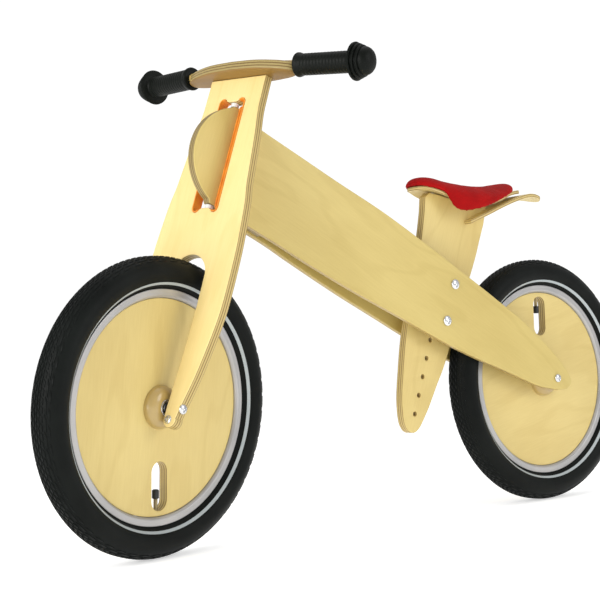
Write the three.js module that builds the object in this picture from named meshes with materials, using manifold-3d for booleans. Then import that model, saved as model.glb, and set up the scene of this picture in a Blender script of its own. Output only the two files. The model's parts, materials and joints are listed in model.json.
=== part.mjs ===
// Wooden balance bike: two ply frame panels, a ply fork that turns round a half-moon head board,
// and two disc wheels. Millimetres, +Z up, the bike faces -Y, +X is the rider's left.
import * as THREE from 'three';
import { mergeVertices } from 'three/addons/utils/BufferGeometryUtils.js';
import Module from 'manifold-3d';

const wasm = await Module();
wasm.setup();

// ---- driving dimensions ----
const WHEEL_RADIUS = 202.5;          // 50-305 tyre, 405 mm across
const WHEELBASE = 762;
const HEAD_TILT = THREE.MathUtils.degToRad(19.91);
const STEER_AT_REST = THREE.MathUtils.degToRad(12.94);
const AXLE_LEAD = 2;                 // front axle ahead of the steering axis
const PLY = 15;                      // fork, post, disc, head board and handlebar
const PANEL = 9;                     // frame panels
const SEAT_PLY = 6;
const GAP = 0.3;
const TYRE_HALF_WIDTH = 25.1;
const RIM_RADIUS = 158.4;
const RIM_HALF_WIDTH = 12;
const RIM_WALL = 1.7;
const DISC_RADIUS = 145.9;
const BOSS_RADIUS = 29.5;
const BOSS_FACE = 22.3;              // outer face of a hub boss, from the wheel's middle
const BEARING_RADIUS = 11;
const BEARING_WIDTH = 7;
const AXLE_RADIUS = 3;
const SLOT_HALF_WIDTH = 24.5;        // the fork's opening round the head board
const SLOT_LOW = 279.5;
const SLOT_HIGH = 454;
const TAB_LOW = 286;                 // tabs in the middle of the opening carry the pivots
const TAB_HIGH = 448.5;
const NECK_LOW = 292.5;
const NECK_HIGH = 442;
const FORK_TOP = 486;
const ARCH_HALF_WIDTH = 32;
const ARCH_TOP = 216;
const PIVOT_RADIUS = 3;
const PIVOT_HEAD = 5.8;
const SEAT_BOLTS = [[516.6, 304.4], [537.2, 361.4]];
const SEAT_BOLT_RADIUS = 4;
const HOLE_STEP = [-10.32, -28.49];  // from one height hole of the post to the next
const VALVE_SLOT = { middle: 106, halfLength: 33, halfWidth: 14 };

// ---- materials ----
const look = (color, roughness, metalness = 0) =>
  new THREE.MeshStandardMaterial({ color, roughness, metalness });
const birch = look(0xe2cb92, 0.5);
const paleBirch = look(0xf1e3b4, 0.45);
const rubber = look(0x1b1d1b, 0.85);
const tubeRubber = look(0x111111, 0.7);
const aluminium = look(0xd2d2cf, 0.35, 0.9);
const steel = look(0x9a9a98, 0.35, 0.9);
const brass = look(0xb48a3c, 0.4, 0.9);
const blackPlastic = look(0x151515, 0.5);
const nylon = look(0xe9e9e4, 0.5);
const leather = look(0xe0831b, 0.6);
const redFabric = look(0xd8261f, 0.85);

// ---- solids ----
function toSolid(geometry) {
  const bare = geometry.clone();
  bare.deleteAttribute('normal');
  bare.deleteAttribute('uv');
  const merged = mergeVertices(bare, 1e-3);
  return new wasm.Manifold(new wasm.Mesh({
    numProp: 3,
    vertProperties: new Float32Array(merged.attributes.position.array),
    triVerts: new Uint32Array(merged.index.array),
  }));
}

function toGeometry(solid) {
  const mesh = solid.getMesh();
  const geometry = new THREE.BufferGeometry();
  geometry.setAttribute('position', new THREE.BufferAttribute(new Float32Array(mesh.vertProperties), 3));
  geometry.setIndex(new THREE.BufferAttribute(new Uint32Array(mesh.triVerts), 1));
  geometry.computeVertexNormals();
  return geometry;
}

function combine(first, others, how) {
  return toGeometry(others.reduce((solid, other) => solid[how](toSolid(other)), toSolid(first)));
}
const cut = (body, ...tools) => combine(body, tools, 'subtract');
const join = (body, ...more) => combine(body, more, 'add');
const common = (body, ...more) => combine(body, more, 'intersect');

// ---- outlines: lists of [u, v] points ----
const circle = (u, v, radius, steps = 24) => arc(u, v, radius, 0, 2 * Math.PI, steps).slice(1);

function arc(u, v, radius, from, to, steps) {
  return Array.from({ length: steps + 1 }, (_, i) => {
    const angle = from + (to - from) * i / steps;
    return [u + radius * Math.cos(angle), v + radius * Math.sin(angle)];
  });
}

function smooth(points, steps) {
  const curve = new THREE.SplineCurve(points.map(([u, v]) => new THREE.Vector2(u, v)));
  return curve.getSpacedPoints(steps).map(({ x, y }) => [x, y]);
}

const mirror = (points) => points.map(([u, v]) => [-u, v]).reverse();

function slab(outline, depth, holes = []) {
  const toVectors = (points) => points.map(([u, v]) => new THREE.Vector2(u, v));
  const shape = new THREE.Shape(toVectors(outline));
  shape.holes = holes.map((hole) => new THREE.Path(toVectors(hole)));
  return new THREE.ExtrudeGeometry(shape, { depth, bevelEnabled: false });
}

// A slab drawn in (x, z), in (y, z) or in (x, y), centred on or starting at a place on the third axis.
const slabFacingY = (outline, depth, holes) => slab(outline, depth, holes)
  .rotateX(Math.PI / 2).translate(0, depth / 2, 0);
const slabFacingX = (outline, depth, holes, from = -depth / 2) => slab(outline, depth, holes)
  .rotateX(Math.PI / 2).rotateZ(Math.PI / 2).translate(from, 0, 0);
const slabFacingZ = (outline, from, to) => slab(outline, to - from).translate(0, 0, from);

// ---- round pieces ----
// A turned piece on the X axis; its profile is a closed list of [radius, x].
function turned(profile, steps) {
  const points = [...profile, profile[0]].map(([radius, x]) => new THREE.Vector2(radius, x));
  if (THREE.ShapeUtils.isClockWise(points)) points.reverse();
  return new THREE.LatheGeometry(points, steps).rotateZ(-Math.PI / 2);
}

const ring = (inner, outer, from, to, steps = 18) =>
  turned([[inner, from], [outer, from], [outer, to], [inner, to]], steps);

// A rod given as a list of [x where the stretch ends, radius], starting at x = from.
function steppedRod(from, stretches, steps = 12) {
  const profile = [[0, from]];
  let start = from;
  for (const [end, radius] of stretches) {
    profile.push([radius, start], [radius, end]);
    start = end;
  }
  profile.push([0, start]);
  return new THREE.LatheGeometry(profile.map(([r, x]) => new THREE.Vector2(r, x)), steps)
    .rotateZ(-Math.PI / 2);
}
const alongY = (geometry) => geometry.rotateZ(Math.PI / 2);
const alongZ = (geometry) => geometry.rotateY(-Math.PI / 2);
const rod = (radius, from, to, steps) => steppedRod(from, [[to, radius]], steps);
const hexNut = (boltRadius, radius, from, to) =>
  cut(rod(radius, from, to, 6), rod(boltRadius + GAP, from - 1, to + 1));

// ---- scene graph ----
const bike = new THREE.Group();
const head = new THREE.Group();      // z along the steering axis, y backwards
head.position.set(0, AXLE_LEAD * Math.cos(HEAD_TILT), WHEEL_RADIUS - AXLE_LEAD * Math.sin(HEAD_TILT));
head.rotation.x = -HEAD_TILT;
const steering = new THREE.Group();
steering.name = 'steering';
steering.rotation.z = STEER_AT_REST;
bike.add(head);
head.add(steering);

function add(parent, name, geometry, material) {
  const mesh = new THREE.Mesh(geometry, material);
  mesh.name = name;
  parent.add(mesh);
  return mesh;
}

const SIDES = { left: 1, right: -1 };

// The mirror image across x = 0, with each triangle's corners in the other order.
function flipX(geometry) {
  const flipped = geometry.index ? geometry.toNonIndexed() : geometry.clone();
  flipped.scale(-1, 1, 1);
  const corners = flipped.attributes.position;
  const [second, third] = [new THREE.Vector3(), new THREE.Vector3()];
  for (let i = 0; i < corners.count; i += 3) {
    second.fromBufferAttribute(corners, i + 1);
    third.fromBufferAttribute(corners, i + 2);
    corners.setXYZ(i + 1, ...third.toArray());
    corners.setXYZ(i + 2, ...second.toArray());
  }
  flipped.computeVertexNormals();
  return flipped;
}
const forSide = (geometry, side) => (side > 0 ? geometry : flipX(geometry));

// ---- frame panels ----
const PANEL_OUTLINE = [
  [134.9, 457.6], ...smooth([[156, 447], [206, 422], [254, 396], [340, 352], [424, 312], [463, 293],
    [523, 265], [586, 239.5], [629.5, 224], [674, 207], [719, 191], [767, 182.5]], 26),
  ...smooth([[785, 183.5], [795, 190], [797, 199], [789, 213]], 6),
  ...smooth([[773, 231], [751.5, 250], [728, 269], [681, 304], [653, 321], [560, 378], [462, 437],
    [395, 476], [320, 515], [249, 553], [190, 584]], 24), [182, 588.5],
];
const INNER_FACE = [[40, 7.8], [130, 7.8], [200, 8.0], [300, 13.4], [450, 23.4], [560, 28.6], [660, 31.2],
  [740, 32], [840, 32.2]];
const innerFace = smooth(INNER_FACE, 24).map(([y, x]) => [x, y]);

function panelAt(y) {
  const after = innerFace.findIndex((point) => point[1] >= y);
  const [x0, y0] = innerFace[after - 1];
  const [x1, y1] = innerFace[after];
  return x0 + (x1 - x0) * (y - y0) / (y1 - y0);
}

function panel() {
  const outerFace = innerFace.map(([x, y]) => [x + PANEL, y]).reverse();
  const bent = slabFacingZ([...innerFace, ...outerFace].reverse(), 100, 650);
  const flat = slabFacingX(PANEL_OUTLINE, 80, [], 0);
  const holes = SEAT_BOLTS.map(([y, z]) => rod(SEAT_BOLT_RADIUS + GAP, 0, 60).translate(0, y, z));
  const axleHole = rod(AXLE_RADIUS + GAP, 0, 60).translate(0, WHEELBASE, WHEEL_RADIUS);
  return cut(common(bent, flat), ...holes, axleHole);
}

for (const [side, sign] of Object.entries(SIDES)) {
  add(bike, `frame_panel_${side}`, forSide(panel(), sign), birch);
}

// ---- head board with its half-moon front, drawn in (y, z) of the head ----
const MOON = { y: 25, z: 368.5, radius: 77 };
const MOON_ANGLE = 1.121;            // half of the arc that stands in front of the fork
const HEAD_OUTLINE = [
  [0, NECK_LOW], [10, NECK_LOW], [40, 289.5], [93, 281.5], [93, 413], [50, 421], [38, 433],
  [20, NECK_HIGH], [0, NECK_HIGH], [-5.5, NECK_HIGH - 1],
  ...arc(MOON.y, MOON.z, MOON.radius, Math.PI - MOON_ANGLE, Math.PI + MOON_ANGLE, 28),
  [-5.5, NECK_LOW + 1],
];
const pivotRod = (radius, from, to) => alongZ(rod(radius, from, to));
add(head, 'head_board', cut(
  slabFacingX(HEAD_OUTLINE, PLY),
  pivotRod(PIVOT_RADIUS + GAP, NECK_LOW - 5, 314),
  pivotRod(PIVOT_RADIUS + GAP, 423, NECK_HIGH + 5),
), birch);

const CUFF = { thickness: 2, front: 3, back: 35, low: 288, high: 447, corner: 6 };
function cuffOutline({ front, back, low, high, corner }) {
  return [
    ...arc(back - corner, high - corner, corner, 0, Math.PI / 2, 5),
    ...arc(front + corner, high - corner, corner, Math.PI / 2, Math.PI, 5),
    ...arc(front + corner, low + corner, corner, Math.PI, 1.5 * Math.PI, 5),
    ...arc(back - corner, low + corner, corner, 1.5 * Math.PI, 2 * Math.PI, 5),
  ];
}
for (const [side, sign] of Object.entries(SIDES)) {
  const cuff = slabFacingX(cuffOutline(CUFF), CUFF.thickness, [], PLY / 2 + GAP);
  add(head, `leather_cuff_${side}`, forSide(cuff, sign), leather);
}
const bushing = (low, high) => alongZ(ring(PIVOT_RADIUS + GAP, 5.5, low + GAP, high - GAP));
add(head, 'upper_bushing', bushing(NECK_HIGH, TAB_HIGH), nylon);
add(head, 'lower_bushing', bushing(TAB_LOW, NECK_LOW), nylon);

// ---- fork board, drawn in (x, z) of the head ----
const FORK_SIDE = smooth([[52, FORK_TOP], [52.5, 455], [53.5, 431], [59, 394], [65, 340], [67.5, 319],
  [72.5, 293], [76, 260], [78, 236], [79, 214], [79.5, 175], [78.5, 136], [73.7, 100], [64, 50], [55, 17],
  [50, 0], [46.5, -14]], 28);
const LEG_TIP = arc(36.5, -16, 11, 0.1, -Math.PI, 10);
const LEG_INSIDE = smooth([[25.3, 0], [28.7, 48], [31, 93], [32.2, 138], [ARCH_HALF_WIDTH, 184]], 8);
const ARCH = arc(0, ARCH_TOP - ARCH_HALF_WIDTH, ARCH_HALF_WIDTH, 0, Math.PI / 2, 8).slice(1);
const FORK_HALF = [...FORK_SIDE, ...LEG_TIP, ...LEG_INSIDE, ...ARCH];
const FORK_OUTLINE = [...FORK_HALF, ...mirror(FORK_HALF).slice(1)];

const LOBE_RADIUS = 7;
const TAB_EDGE = 10;
const lobeX = SLOT_HALF_WIDTH - LOBE_RADIUS;
const SLOT_HALF = [
  [0, TAB_LOW], [TAB_EDGE - 3, TAB_LOW],
  ...arc(lobeX, SLOT_LOW + LOBE_RADIUS, LOBE_RADIUS, -0.85 * Math.PI, 0, 8),
  ...arc(lobeX, SLOT_HIGH - LOBE_RADIUS, LOBE_RADIUS, 0, 0.85 * Math.PI, 8),
  [TAB_EDGE - 3, TAB_HIGH], [0, TAB_HIGH],
];
const SLOT = [...SLOT_HALF, ...mirror(SLOT_HALF).slice(1, -1)];
const LEG_FLAT = 50;                 // flat for the axle's head and nut on a leg's edge
const LEG_SCREW = { x: 34.5, z: -16.7, radius: 2.5, head: 4.6 };
const BAR_SCREW = { x: 32, radius: 2.2, head: 4.5, low: 450 };
const boltHole = (x, z, radius) => alongY(rod(radius, -20, 20)).translate(x, 0, z);
const BOTH = Object.values(SIDES);

add(steering, 'fork_board', cut(
  slabFacingY(FORK_OUTLINE, PLY, [SLOT]),
  ...BOTH.map((sign) => steppedRod(15, [[LEG_FLAT, AXLE_RADIUS + GAP], [70, 7.4]])
    .rotateZ(sign > 0 ? 0 : Math.PI).translate(0, -AXLE_LEAD, 0)),
  ...BOTH.map((sign) => boltHole(sign * LEG_SCREW.x, LEG_SCREW.z, LEG_SCREW.radius + GAP)),
  ...BOTH.map((sign) => pivotRod(BAR_SCREW.radius + GAP, BAR_SCREW.low - 2, FORK_TOP + 5)
    .translate(sign * BAR_SCREW.x, 0, 0)),
  pivotRod(PIVOT_RADIUS + GAP, ARCH_TOP - 5, TAB_LOW + 5),
  pivotRod(PIVOT_HEAD + GAP, ARCH_TOP - 5, 226),
  pivotRod(PIVOT_RADIUS + GAP, TAB_HIGH - 5, FORK_TOP + 5),
  pivotRod(PIVOT_HEAD + GAP, 478, FORK_TOP + 5),
), paleBirch);

const LINER = 1.5;
function linerOutline() {
  const wall = (grow) => [
    ...arc(lobeX, SLOT_LOW + LOBE_RADIUS, LOBE_RADIUS - grow, -0.8 * Math.PI, 0, 8),
    ...arc(lobeX, SLOT_HIGH - LOBE_RADIUS, LOBE_RADIUS - grow, 0, 0.8 * Math.PI, 8),
  ];
  return [...wall(GAP), ...wall(GAP + LINER).reverse()];
}
for (const [side, sign] of Object.entries(SIDES)) {
  add(steering, `slot_liner_${side}`, forSide(slabFacingY(linerOutline(), PLY), sign), leather);
}
add(steering, 'upper_pivot_bolt', alongZ(steppedRod(425, [[478.3, PIVOT_RADIUS], [484, PIVOT_HEAD]])), steel);
add(steering, 'lower_pivot_bolt', alongZ(steppedRod(220, [[225.7, PIVOT_HEAD], [312, PIVOT_RADIUS]])), steel);
for (const [side, sign] of Object.entries(SIDES)) {
  const screw = alongY(steppedRod(-10.3, [[-PLY / 2 - GAP, LEG_SCREW.head], [6, LEG_SCREW.radius]]));
  add(steering, `leg_screw_${side}`, screw.translate(sign * LEG_SCREW.x, 0, LEG_SCREW.z), steel);
}

// ---- handlebar and grips, drawn in (x, y) of the head ----
const BAR_LOW = FORK_TOP + GAP;
const BAR_HIGH = BAR_LOW + PLY;
const BAR_HALF = smooth([[0, -30], [40, -27.5], [70, -21], [90, -13.5], [98, -8], [100, -1], [97, 6],
  [85, 10.5], [60, 13.5], [30, 15.5], [0, 16]], 26);
const GRIP_START = new THREE.Vector3(91.2, -2, 499);
const GRIP_END = new THREE.Vector3(214, 13.4, 500);
const GRIP_AXIS = GRIP_END.clone().sub(GRIP_START).normalize();
const DOWEL_RADIUS = 7.4;
const GRIP_INNER = 10;               // the grip starts this far along the dowel
const GRIP_FLANGE = 102;             // and its round flange starts here

function onGrip(geometry, sign) {
  const turn = new THREE.Quaternion().setFromUnitVectors(new THREE.Vector3(1, 0, 0), GRIP_AXIS);
  const placed = geometry.applyQuaternion(turn).translate(...GRIP_START.toArray());
  return forSide(placed, sign);
}
add(steering, 'handlebar', cut(
  join(
    slabFacingZ([...mirror(BAR_HALF).reverse().slice(1), ...[...BAR_HALF].reverse().slice(1)], BAR_LOW, BAR_HIGH),
    ...BOTH.map((sign) => onGrip(rod(DOWEL_RADIUS, 0, GRIP_FLANGE - 2), sign)),
  ),
  ...BOTH.map((sign) => pivotRod(BAR_SCREW.radius + GAP, BAR_LOW - 5, BAR_HIGH + 5)
    .translate(sign * BAR_SCREW.x, 0, 0)),
  ...BOTH.map((sign) => pivotRod(BAR_SCREW.head + GAP, BAR_HIGH - 4.3, BAR_HIGH + 5)
    .translate(sign * BAR_SCREW.x, 0, 0)),
), paleBirch);

const GRIP_PROFILE = [
  [DOWEL_RADIUS + GAP, GRIP_INNER], [16.3, GRIP_INNER], [17.2, 12], [16.4, 16], [14.8, 20], [14.4, 55],
  ...[[14.4, -3], [24.8, 0], [25.8, 1.5], [25.8, 5.5], [23.8, 6.5], [24.8, 7.7], [24.8, 12], [22.6, 13],
    [23.2, 14.3], [22.8, 18], [19.5, 25], [12, 30], [0, 32.4], [0, -1], [DOWEL_RADIUS + GAP, -1],
  ].map(([r, x]) => [r, GRIP_FLANGE + x]),
  [DOWEL_RADIUS + GAP, GRIP_INNER],
];
const gripShape = () => new THREE.LatheGeometry(
  GRIP_PROFILE.map(([r, x]) => new THREE.Vector2(r, x)), 20).rotateZ(-Math.PI / 2);
for (const [side, sign] of Object.entries(SIDES)) {
  const screw = alongZ(steppedRod(BAR_SCREW.low, [[BAR_HIGH - 4, BAR_SCREW.radius],
    [BAR_HIGH - 0.8, BAR_SCREW.head]]));
  add(steering, `bar_screw_${side}`, screw.translate(sign * BAR_SCREW.x, 0, 0), steel);
  add(steering, `grip_${side}`, onGrip(gripShape(), sign), rubber);
}

// ---- axles: bolt with its head on the left, nut on the right ----
function addAxle(parent, name, reach, place) {
  const bolt = steppedRod(-reach - 4, [[reach + GAP, AXLE_RADIUS], [reach + 4.5, 6.5]]);
  const nut = hexNut(AXLE_RADIUS, 6.5, -reach - 5.5, -reach - GAP);
  add(parent, `${name}_axle`, bolt.translate(...place), steel);
  add(parent, `${name}_axle_nut`, nut.translate(...place), steel);
}
function addSpacers(parent, name, reach, place) {
  for (const [side, sign] of Object.entries(SIDES)) {
    const spacer = ring(AXLE_RADIUS + GAP, 7, BOSS_FACE + 2 * GAP, reach);
    add(parent, `${name}_spacer_${side}`, forSide(spacer, sign).translate(...place), blackPlastic);
  }
}
addAxle(steering, 'front', LEG_FLAT, [0, -AXLE_LEAD, 0]);
addSpacers(steering, 'front', 24.9, [0, -AXLE_LEAD, 0]);
addAxle(bike, 'rear', 41.9, [0, WHEELBASE, WHEEL_RADIUS]);
addSpacers(bike, 'rear', 31.4, [0, WHEELBASE, WHEEL_RADIUS]);

// ---- wheels, drawn round the X axis; the valve slot points along +Z ----
const TYRE_OUTSIDE = [[152.5, 10], [159, 10.2], [167.5, 20.5], [180, TYRE_HALF_WIDTH], [192, 22],
  [199.5, 13.5]];
const TYRE_INSIDE = [[188, 18.5], [166, 12.5], [152.5, 7.2]];
const otherSide = (half) => half.map(([r, x]) => [r, -x]).reverse();
const TYRE_PROFILE = [
  ...TYRE_OUTSIDE, [WHEEL_RADIUS, 0], ...otherSide(TYRE_OUTSIDE),
  ...otherSide(TYRE_INSIDE), [197.5, 0], ...TYRE_INSIDE,
];
const RIM_BED = DISC_RADIUS + 2.3;
const RIM_PROFILE = [
  [DISC_RADIUS + 0.4, -RIM_HALF_WIDTH], [RIM_RADIUS, -RIM_HALF_WIDTH],
  [RIM_RADIUS, RIM_WALL - RIM_HALF_WIDTH], [RIM_BED, RIM_WALL - RIM_HALF_WIDTH],
  [RIM_BED, RIM_HALF_WIDTH - RIM_WALL], [RIM_RADIUS, RIM_HALF_WIDTH - RIM_WALL],
  [RIM_RADIUS, RIM_HALF_WIDTH], [DISC_RADIUS + 0.4, RIM_HALF_WIDTH],
];
const TUBE = { middle: 178, halfHeight: 17, halfWidth: 14, wall: 1.5 };
const VALVE_RADIUS = 3;
const radialRod = (radius, from, to) => alongZ(rod(radius, from, to, 16));

function tubeProfile(shrink) {
  return arc(0, 0, 1, 0, 2 * Math.PI, 8).slice(1).map(([c, s]) =>
    [TUBE.middle + (TUBE.halfHeight - shrink) * c, (TUBE.halfWidth - shrink) * s]);
}
function innerTube() {
  const hole = radialRod(VALVE_RADIUS + GAP, 150, 168);
  return cut(turned(tubeProfile(0), 22), turned(tubeProfile(TUBE.wall), 22), hole);
}
function valveSlot() {
  const { middle, halfLength, halfWidth } = VALVE_SLOT;
  const reach = halfLength - halfWidth;
  return [
    ...arc(0, middle + reach, halfWidth, 0, Math.PI, 10),
    ...arc(0, middle - reach, halfWidth, Math.PI, 2 * Math.PI, 10),
  ];
}
const BOSS_DOME = [[29.5, 11.3], [28, 14.8], [25, 18], [21, 20.6], [16.5, 22], [13.5, BOSS_FACE]];
function boss() {
  const pocket = BOSS_FACE - BEARING_WIDTH - GAP;
  return turned([
    [6, PLY / 2 + GAP], [BOSS_RADIUS, PLY / 2 + GAP], ...BOSS_DOME,
    [BEARING_RADIUS + GAP, BOSS_FACE], [BEARING_RADIUS + GAP, pocket], [6, pocket],
  ], 24);
}
const ROUND = 44;                    // facets round a wheel
const CAP = { radius: 4.9, low: 111, high: 123 };

function addWheel(parent, name, place, spin) {
  const wheel = new THREE.Group();
  wheel.name = `${name}_wheel`;
  wheel.position.set(...place);
  wheel.rotation.x = spin;
  parent.add(wheel);
  add(wheel, `${name}_tyre`, turned(TYRE_PROFILE, ROUND), rubber);
  add(wheel, `${name}_inner_tube`, innerTube(), tubeRubber);
  add(wheel, `${name}_rim`, cut(turned(RIM_PROFILE, ROUND), radialRod(VALVE_RADIUS + GAP, 140, 152)), aluminium);
  const disc = slabFacingX(circle(0, 0, DISC_RADIUS, ROUND), PLY, [circle(0, 0, 6, 16), valveSlot()]);
  add(wheel, `${name}_disc`, cut(disc, radialRod(VALVE_RADIUS + GAP, 130, 150)), birch);
  for (const [side, sign] of Object.entries(SIDES)) {
    const bearing = ring(AXLE_RADIUS + GAP, BEARING_RADIUS, BOSS_FACE - BEARING_WIDTH, BOSS_FACE);
    add(wheel, `${name}_boss_${side}`, forSide(boss(), sign), birch);
    add(wheel, `${name}_bearing_${side}`, forSide(bearing, sign), steel);
  }
  add(wheel, `${name}_valve`, radialRod(VALVE_RADIUS, CAP.low + 2, 164), brass);
  add(wheel, `${name}_valve_cap`, cut(radialRod(CAP.radius, CAP.low, CAP.high),
    radialRod(VALVE_RADIUS + GAP, CAP.low + 1.5, CAP.high + 5)), blackPlastic);
}
addWheel(steering, 'front', [0, -AXLE_LEAD, 0], Math.PI + HEAD_TILT);
addWheel(bike, 'rear', [0, WHEELBASE, WHEEL_RADIUS], THREE.MathUtils.degToRad(-1));

// ---- seat post and its guides, drawn in (y, z) ----
const TAIL_PATH = [[596, 463.5], [630, 478], [665, 492.5], [700, 503.5], [735, 509.5], [765, 509], [790, 505.5]];
const offset = (points, by) => smooth(points, 20).map(([y, z]) => [y, z + by]);
const POST_OUTLINE = [
  [511, 503], ...smooth([[508, 480], [499, 440], [477, 362], [455.5, 285], [444.5, 224], [439.5, 186],
    [440, 160]], 14), [450, 134], [465, 133],
  ...smooth([[483, 151.5], [497, 172], [515, 203], [537, 240], [575, 320], [614, 400], [629, 436],
    [640, 462]], 14), [646, 482], [650, 498],
  ...smooth([[640, 500.5], [610, 498.4], [575, 500.6], [540, 507.5]], 6), [520, 510],
];
const postHoles = Array.from({ length: 5 }, (_, i) => [
  SEAT_BOLTS[0][0] + HOLE_STEP[0] * (i + 1), SEAT_BOLTS[0][1] + HOLE_STEP[1] * (i + 1)]);
const tailSlot = [...offset(TAIL_PATH, -SEAT_PLY / 2 - GAP), ...offset(TAIL_PATH, SEAT_PLY / 2 + GAP).reverse()];
const SEAT_SCREWS = { front: { y: 534, low: 490, high: 517 }, rear: { y: 618, low: 484, high: 506.7 } };
const SEAT_SCREW_RADIUS = 2;
const seatScrewHole = ({ y, low }) => alongZ(rod(SEAT_SCREW_RADIUS + GAP, low - 2, 540)).translate(0, y, 0);
add(bike, 'seat_post', cut(
  slabFacingX(POST_OUTLINE, PLY, [...postHoles, ...SEAT_BOLTS].map(([y, z]) => circle(y, z, 4.3, 14))),
  slabFacingX(tailSlot, 40),
  ...Object.values(SEAT_SCREWS).map(seatScrewHole),
), birch);

const ALONG = [Math.sin(HEAD_TILT), Math.cos(HEAD_TILT)];
function guideOutline(halfLength, halfWidth) {
  const [y, z] = [(SEAT_BOLTS[0][0] + SEAT_BOLTS[1][0]) / 2, (SEAT_BOLTS[0][1] + SEAT_BOLTS[1][1]) / 2];
  return [[-1, -1], [1, -1], [1, 1], [-1, 1]].map(([across, along]) => [
    y + ALONG[1] * halfWidth * across + ALONG[0] * halfLength * along,
    z - ALONG[0] * halfWidth * across + ALONG[1] * halfLength * along]);
}
function postGuide() {
  const wedge = innerFace.filter(([x, y]) => y > 300 && y < 700).map(([x, y]) => [x - GAP, y]);
  const inside = [[PLY / 2 + GAP, wedge[0][1]], [PLY / 2 + GAP, wedge.at(-1)[1]], ...wedge.reverse()];
  const block = common(slabFacingX(guideOutline(46, 19), 60, [], 0), slabFacingZ(inside, 100, 650));
  return cut(block, ...SEAT_BOLTS.map(([y, z]) => rod(SEAT_BOLT_RADIUS + GAP, 0, 60).translate(0, y, z)));
}
for (const [side, sign] of Object.entries(SIDES)) {
  add(bike, `post_guide_${side}`, forSide(postGuide(), sign), birch);
}
for (const [i, name] of ['lower', 'upper'].entries()) {
  const [y, z] = SEAT_BOLTS[i];
  const reach = panelAt(y) + PANEL + 0.8;
  const bolt = steppedRod(-reach - 6, [[reach, SEAT_BOLT_RADIUS], [reach + 2.5, 8.5], [reach + 5, 6.5]]);
  const nut = hexNut(SEAT_BOLT_RADIUS, 7.5, -reach - 6, -reach);
  add(bike, `seat_bolt_${name}`, bolt.translate(0, y, z), steel);
  add(bike, `seat_nut_${name}`, nut.translate(0, y, z), steel);
}

// ---- seat: bent board, tail board and padded cover ----
const BOARD_UNDER = [[488, 512], [508, 514], [535, 511], [570, 504], [610, 501], [650, 503], [690, 510],
  [724, 515.5]];
const PAD_TOP = [[489, 519], [494, 529], [508, 534], [530, 533], [570, 526], [610, 521.5], [650, 523.5],
  [680, 530.5], [696, 533], [705, 528], [708, 519]];
const BOARD_PLAN = smooth([[0, 490], [13, 494], [21, 510], [23, 535], [30, 565], [38, 605], [36, 650],
  [27, 685], [22, 705], [17, 719], [0, 724]], 24);
const PAD_PLAN = smooth([[0, 487], [17, 492], [27, 511], [31, 538], [41, 568], [50, 608], [47, 655],
  [35, 688], [20, 704], [0, 708.5]], 24);
const TAIL_PLAN = smooth([[22, 596], [30, 640], [32, 690], [31, 740], [24, 772], [12, 786], [0, 790]], 16);
const whole = (half) => [...half, ...mirror(half).slice(1, -1)];
const tailPlan = [...TAIL_PLAN, ...mirror(TAIL_PLAN).slice(1)];

add(bike, 'seat_board', cut(
  common(
    slabFacingX([...offset(BOARD_UNDER, 0), ...offset(BOARD_UNDER, SEAT_PLY).reverse()], 160),
    slabFacingZ(whole(BOARD_PLAN), 480, 540),
  ),
  ...Object.values(SEAT_SCREWS).map(seatScrewHole),
), birch);
add(bike, 'tail_board', common(
  slabFacingX([...offset(TAIL_PATH, -SEAT_PLY / 2), ...offset(TAIL_PATH, SEAT_PLY / 2).reverse()], 120),
  slabFacingZ(tailPlan, 440, 540),
), birch);

const DRAPE = [[708, 516], [690, 512], [660, 506], [635, 498], [600, 485], [565, 476.5], [538, 477],
  [524, 486], [517, 505], [505, 515], [490, 515.5]];
const padHollow = common(
  slabFacingX([[480, 440], [740, 440], ...offset(BOARD_UNDER, SEAT_PLY + 0.5).reverse()], 160),
  slabFacingZ(whole(BOARD_PLAN.map(([x, y]) => [x * 1.02, y])), 440, 560),
);
add(bike, 'seat_pad', cut(
  common(
    slabFacingX([...smooth(PAD_TOP, 20).reverse(), ...smooth(DRAPE, 14).reverse()].reverse(), 160),
    slabFacingZ(whole(PAD_PLAN), 460, 545),
  ),
  padHollow,
), redFabric);
for (const [name, { y, low, high }] of Object.entries(SEAT_SCREWS)) {
  add(bike, `seat_screw_${name}`, alongZ(rod(SEAT_SCREW_RADIUS, low, high)).translate(0, y, 0), steel);
}

// ---- origin: middle of the footprint, on the ground ----
bike.updateMatrixWorld(true);
const box = new THREE.Box3().setFromObject(bike, true);
const middle = box.getCenter(new THREE.Vector3());
bike.position.set(-middle.x, -middle.y, -box.min.z);

export default bike;
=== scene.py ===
"""Looks of the wooden balance bike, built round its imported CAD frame. Metres, bike faces -Y, +X its left."""
import json
import math

import bmesh
import bpy
import numpy as np
from mathutils import Matrix, Vector


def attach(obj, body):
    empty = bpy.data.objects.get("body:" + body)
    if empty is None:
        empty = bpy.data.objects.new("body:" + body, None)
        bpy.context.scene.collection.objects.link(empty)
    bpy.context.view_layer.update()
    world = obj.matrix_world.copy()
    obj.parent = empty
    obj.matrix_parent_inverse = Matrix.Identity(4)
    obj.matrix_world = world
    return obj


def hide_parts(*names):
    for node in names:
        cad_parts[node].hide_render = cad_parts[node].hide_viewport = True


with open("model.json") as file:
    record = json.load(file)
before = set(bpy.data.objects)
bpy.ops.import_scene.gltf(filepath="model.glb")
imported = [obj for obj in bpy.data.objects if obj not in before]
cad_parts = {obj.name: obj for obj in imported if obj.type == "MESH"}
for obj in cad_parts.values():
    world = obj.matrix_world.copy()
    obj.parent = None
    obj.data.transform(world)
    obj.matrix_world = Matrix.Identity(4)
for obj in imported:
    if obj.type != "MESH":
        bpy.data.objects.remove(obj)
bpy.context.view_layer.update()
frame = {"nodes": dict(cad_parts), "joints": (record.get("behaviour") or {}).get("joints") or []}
JOINTS = {joint["name"]: joint for joint in frame["joints"]}
MM = 0.001

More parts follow.
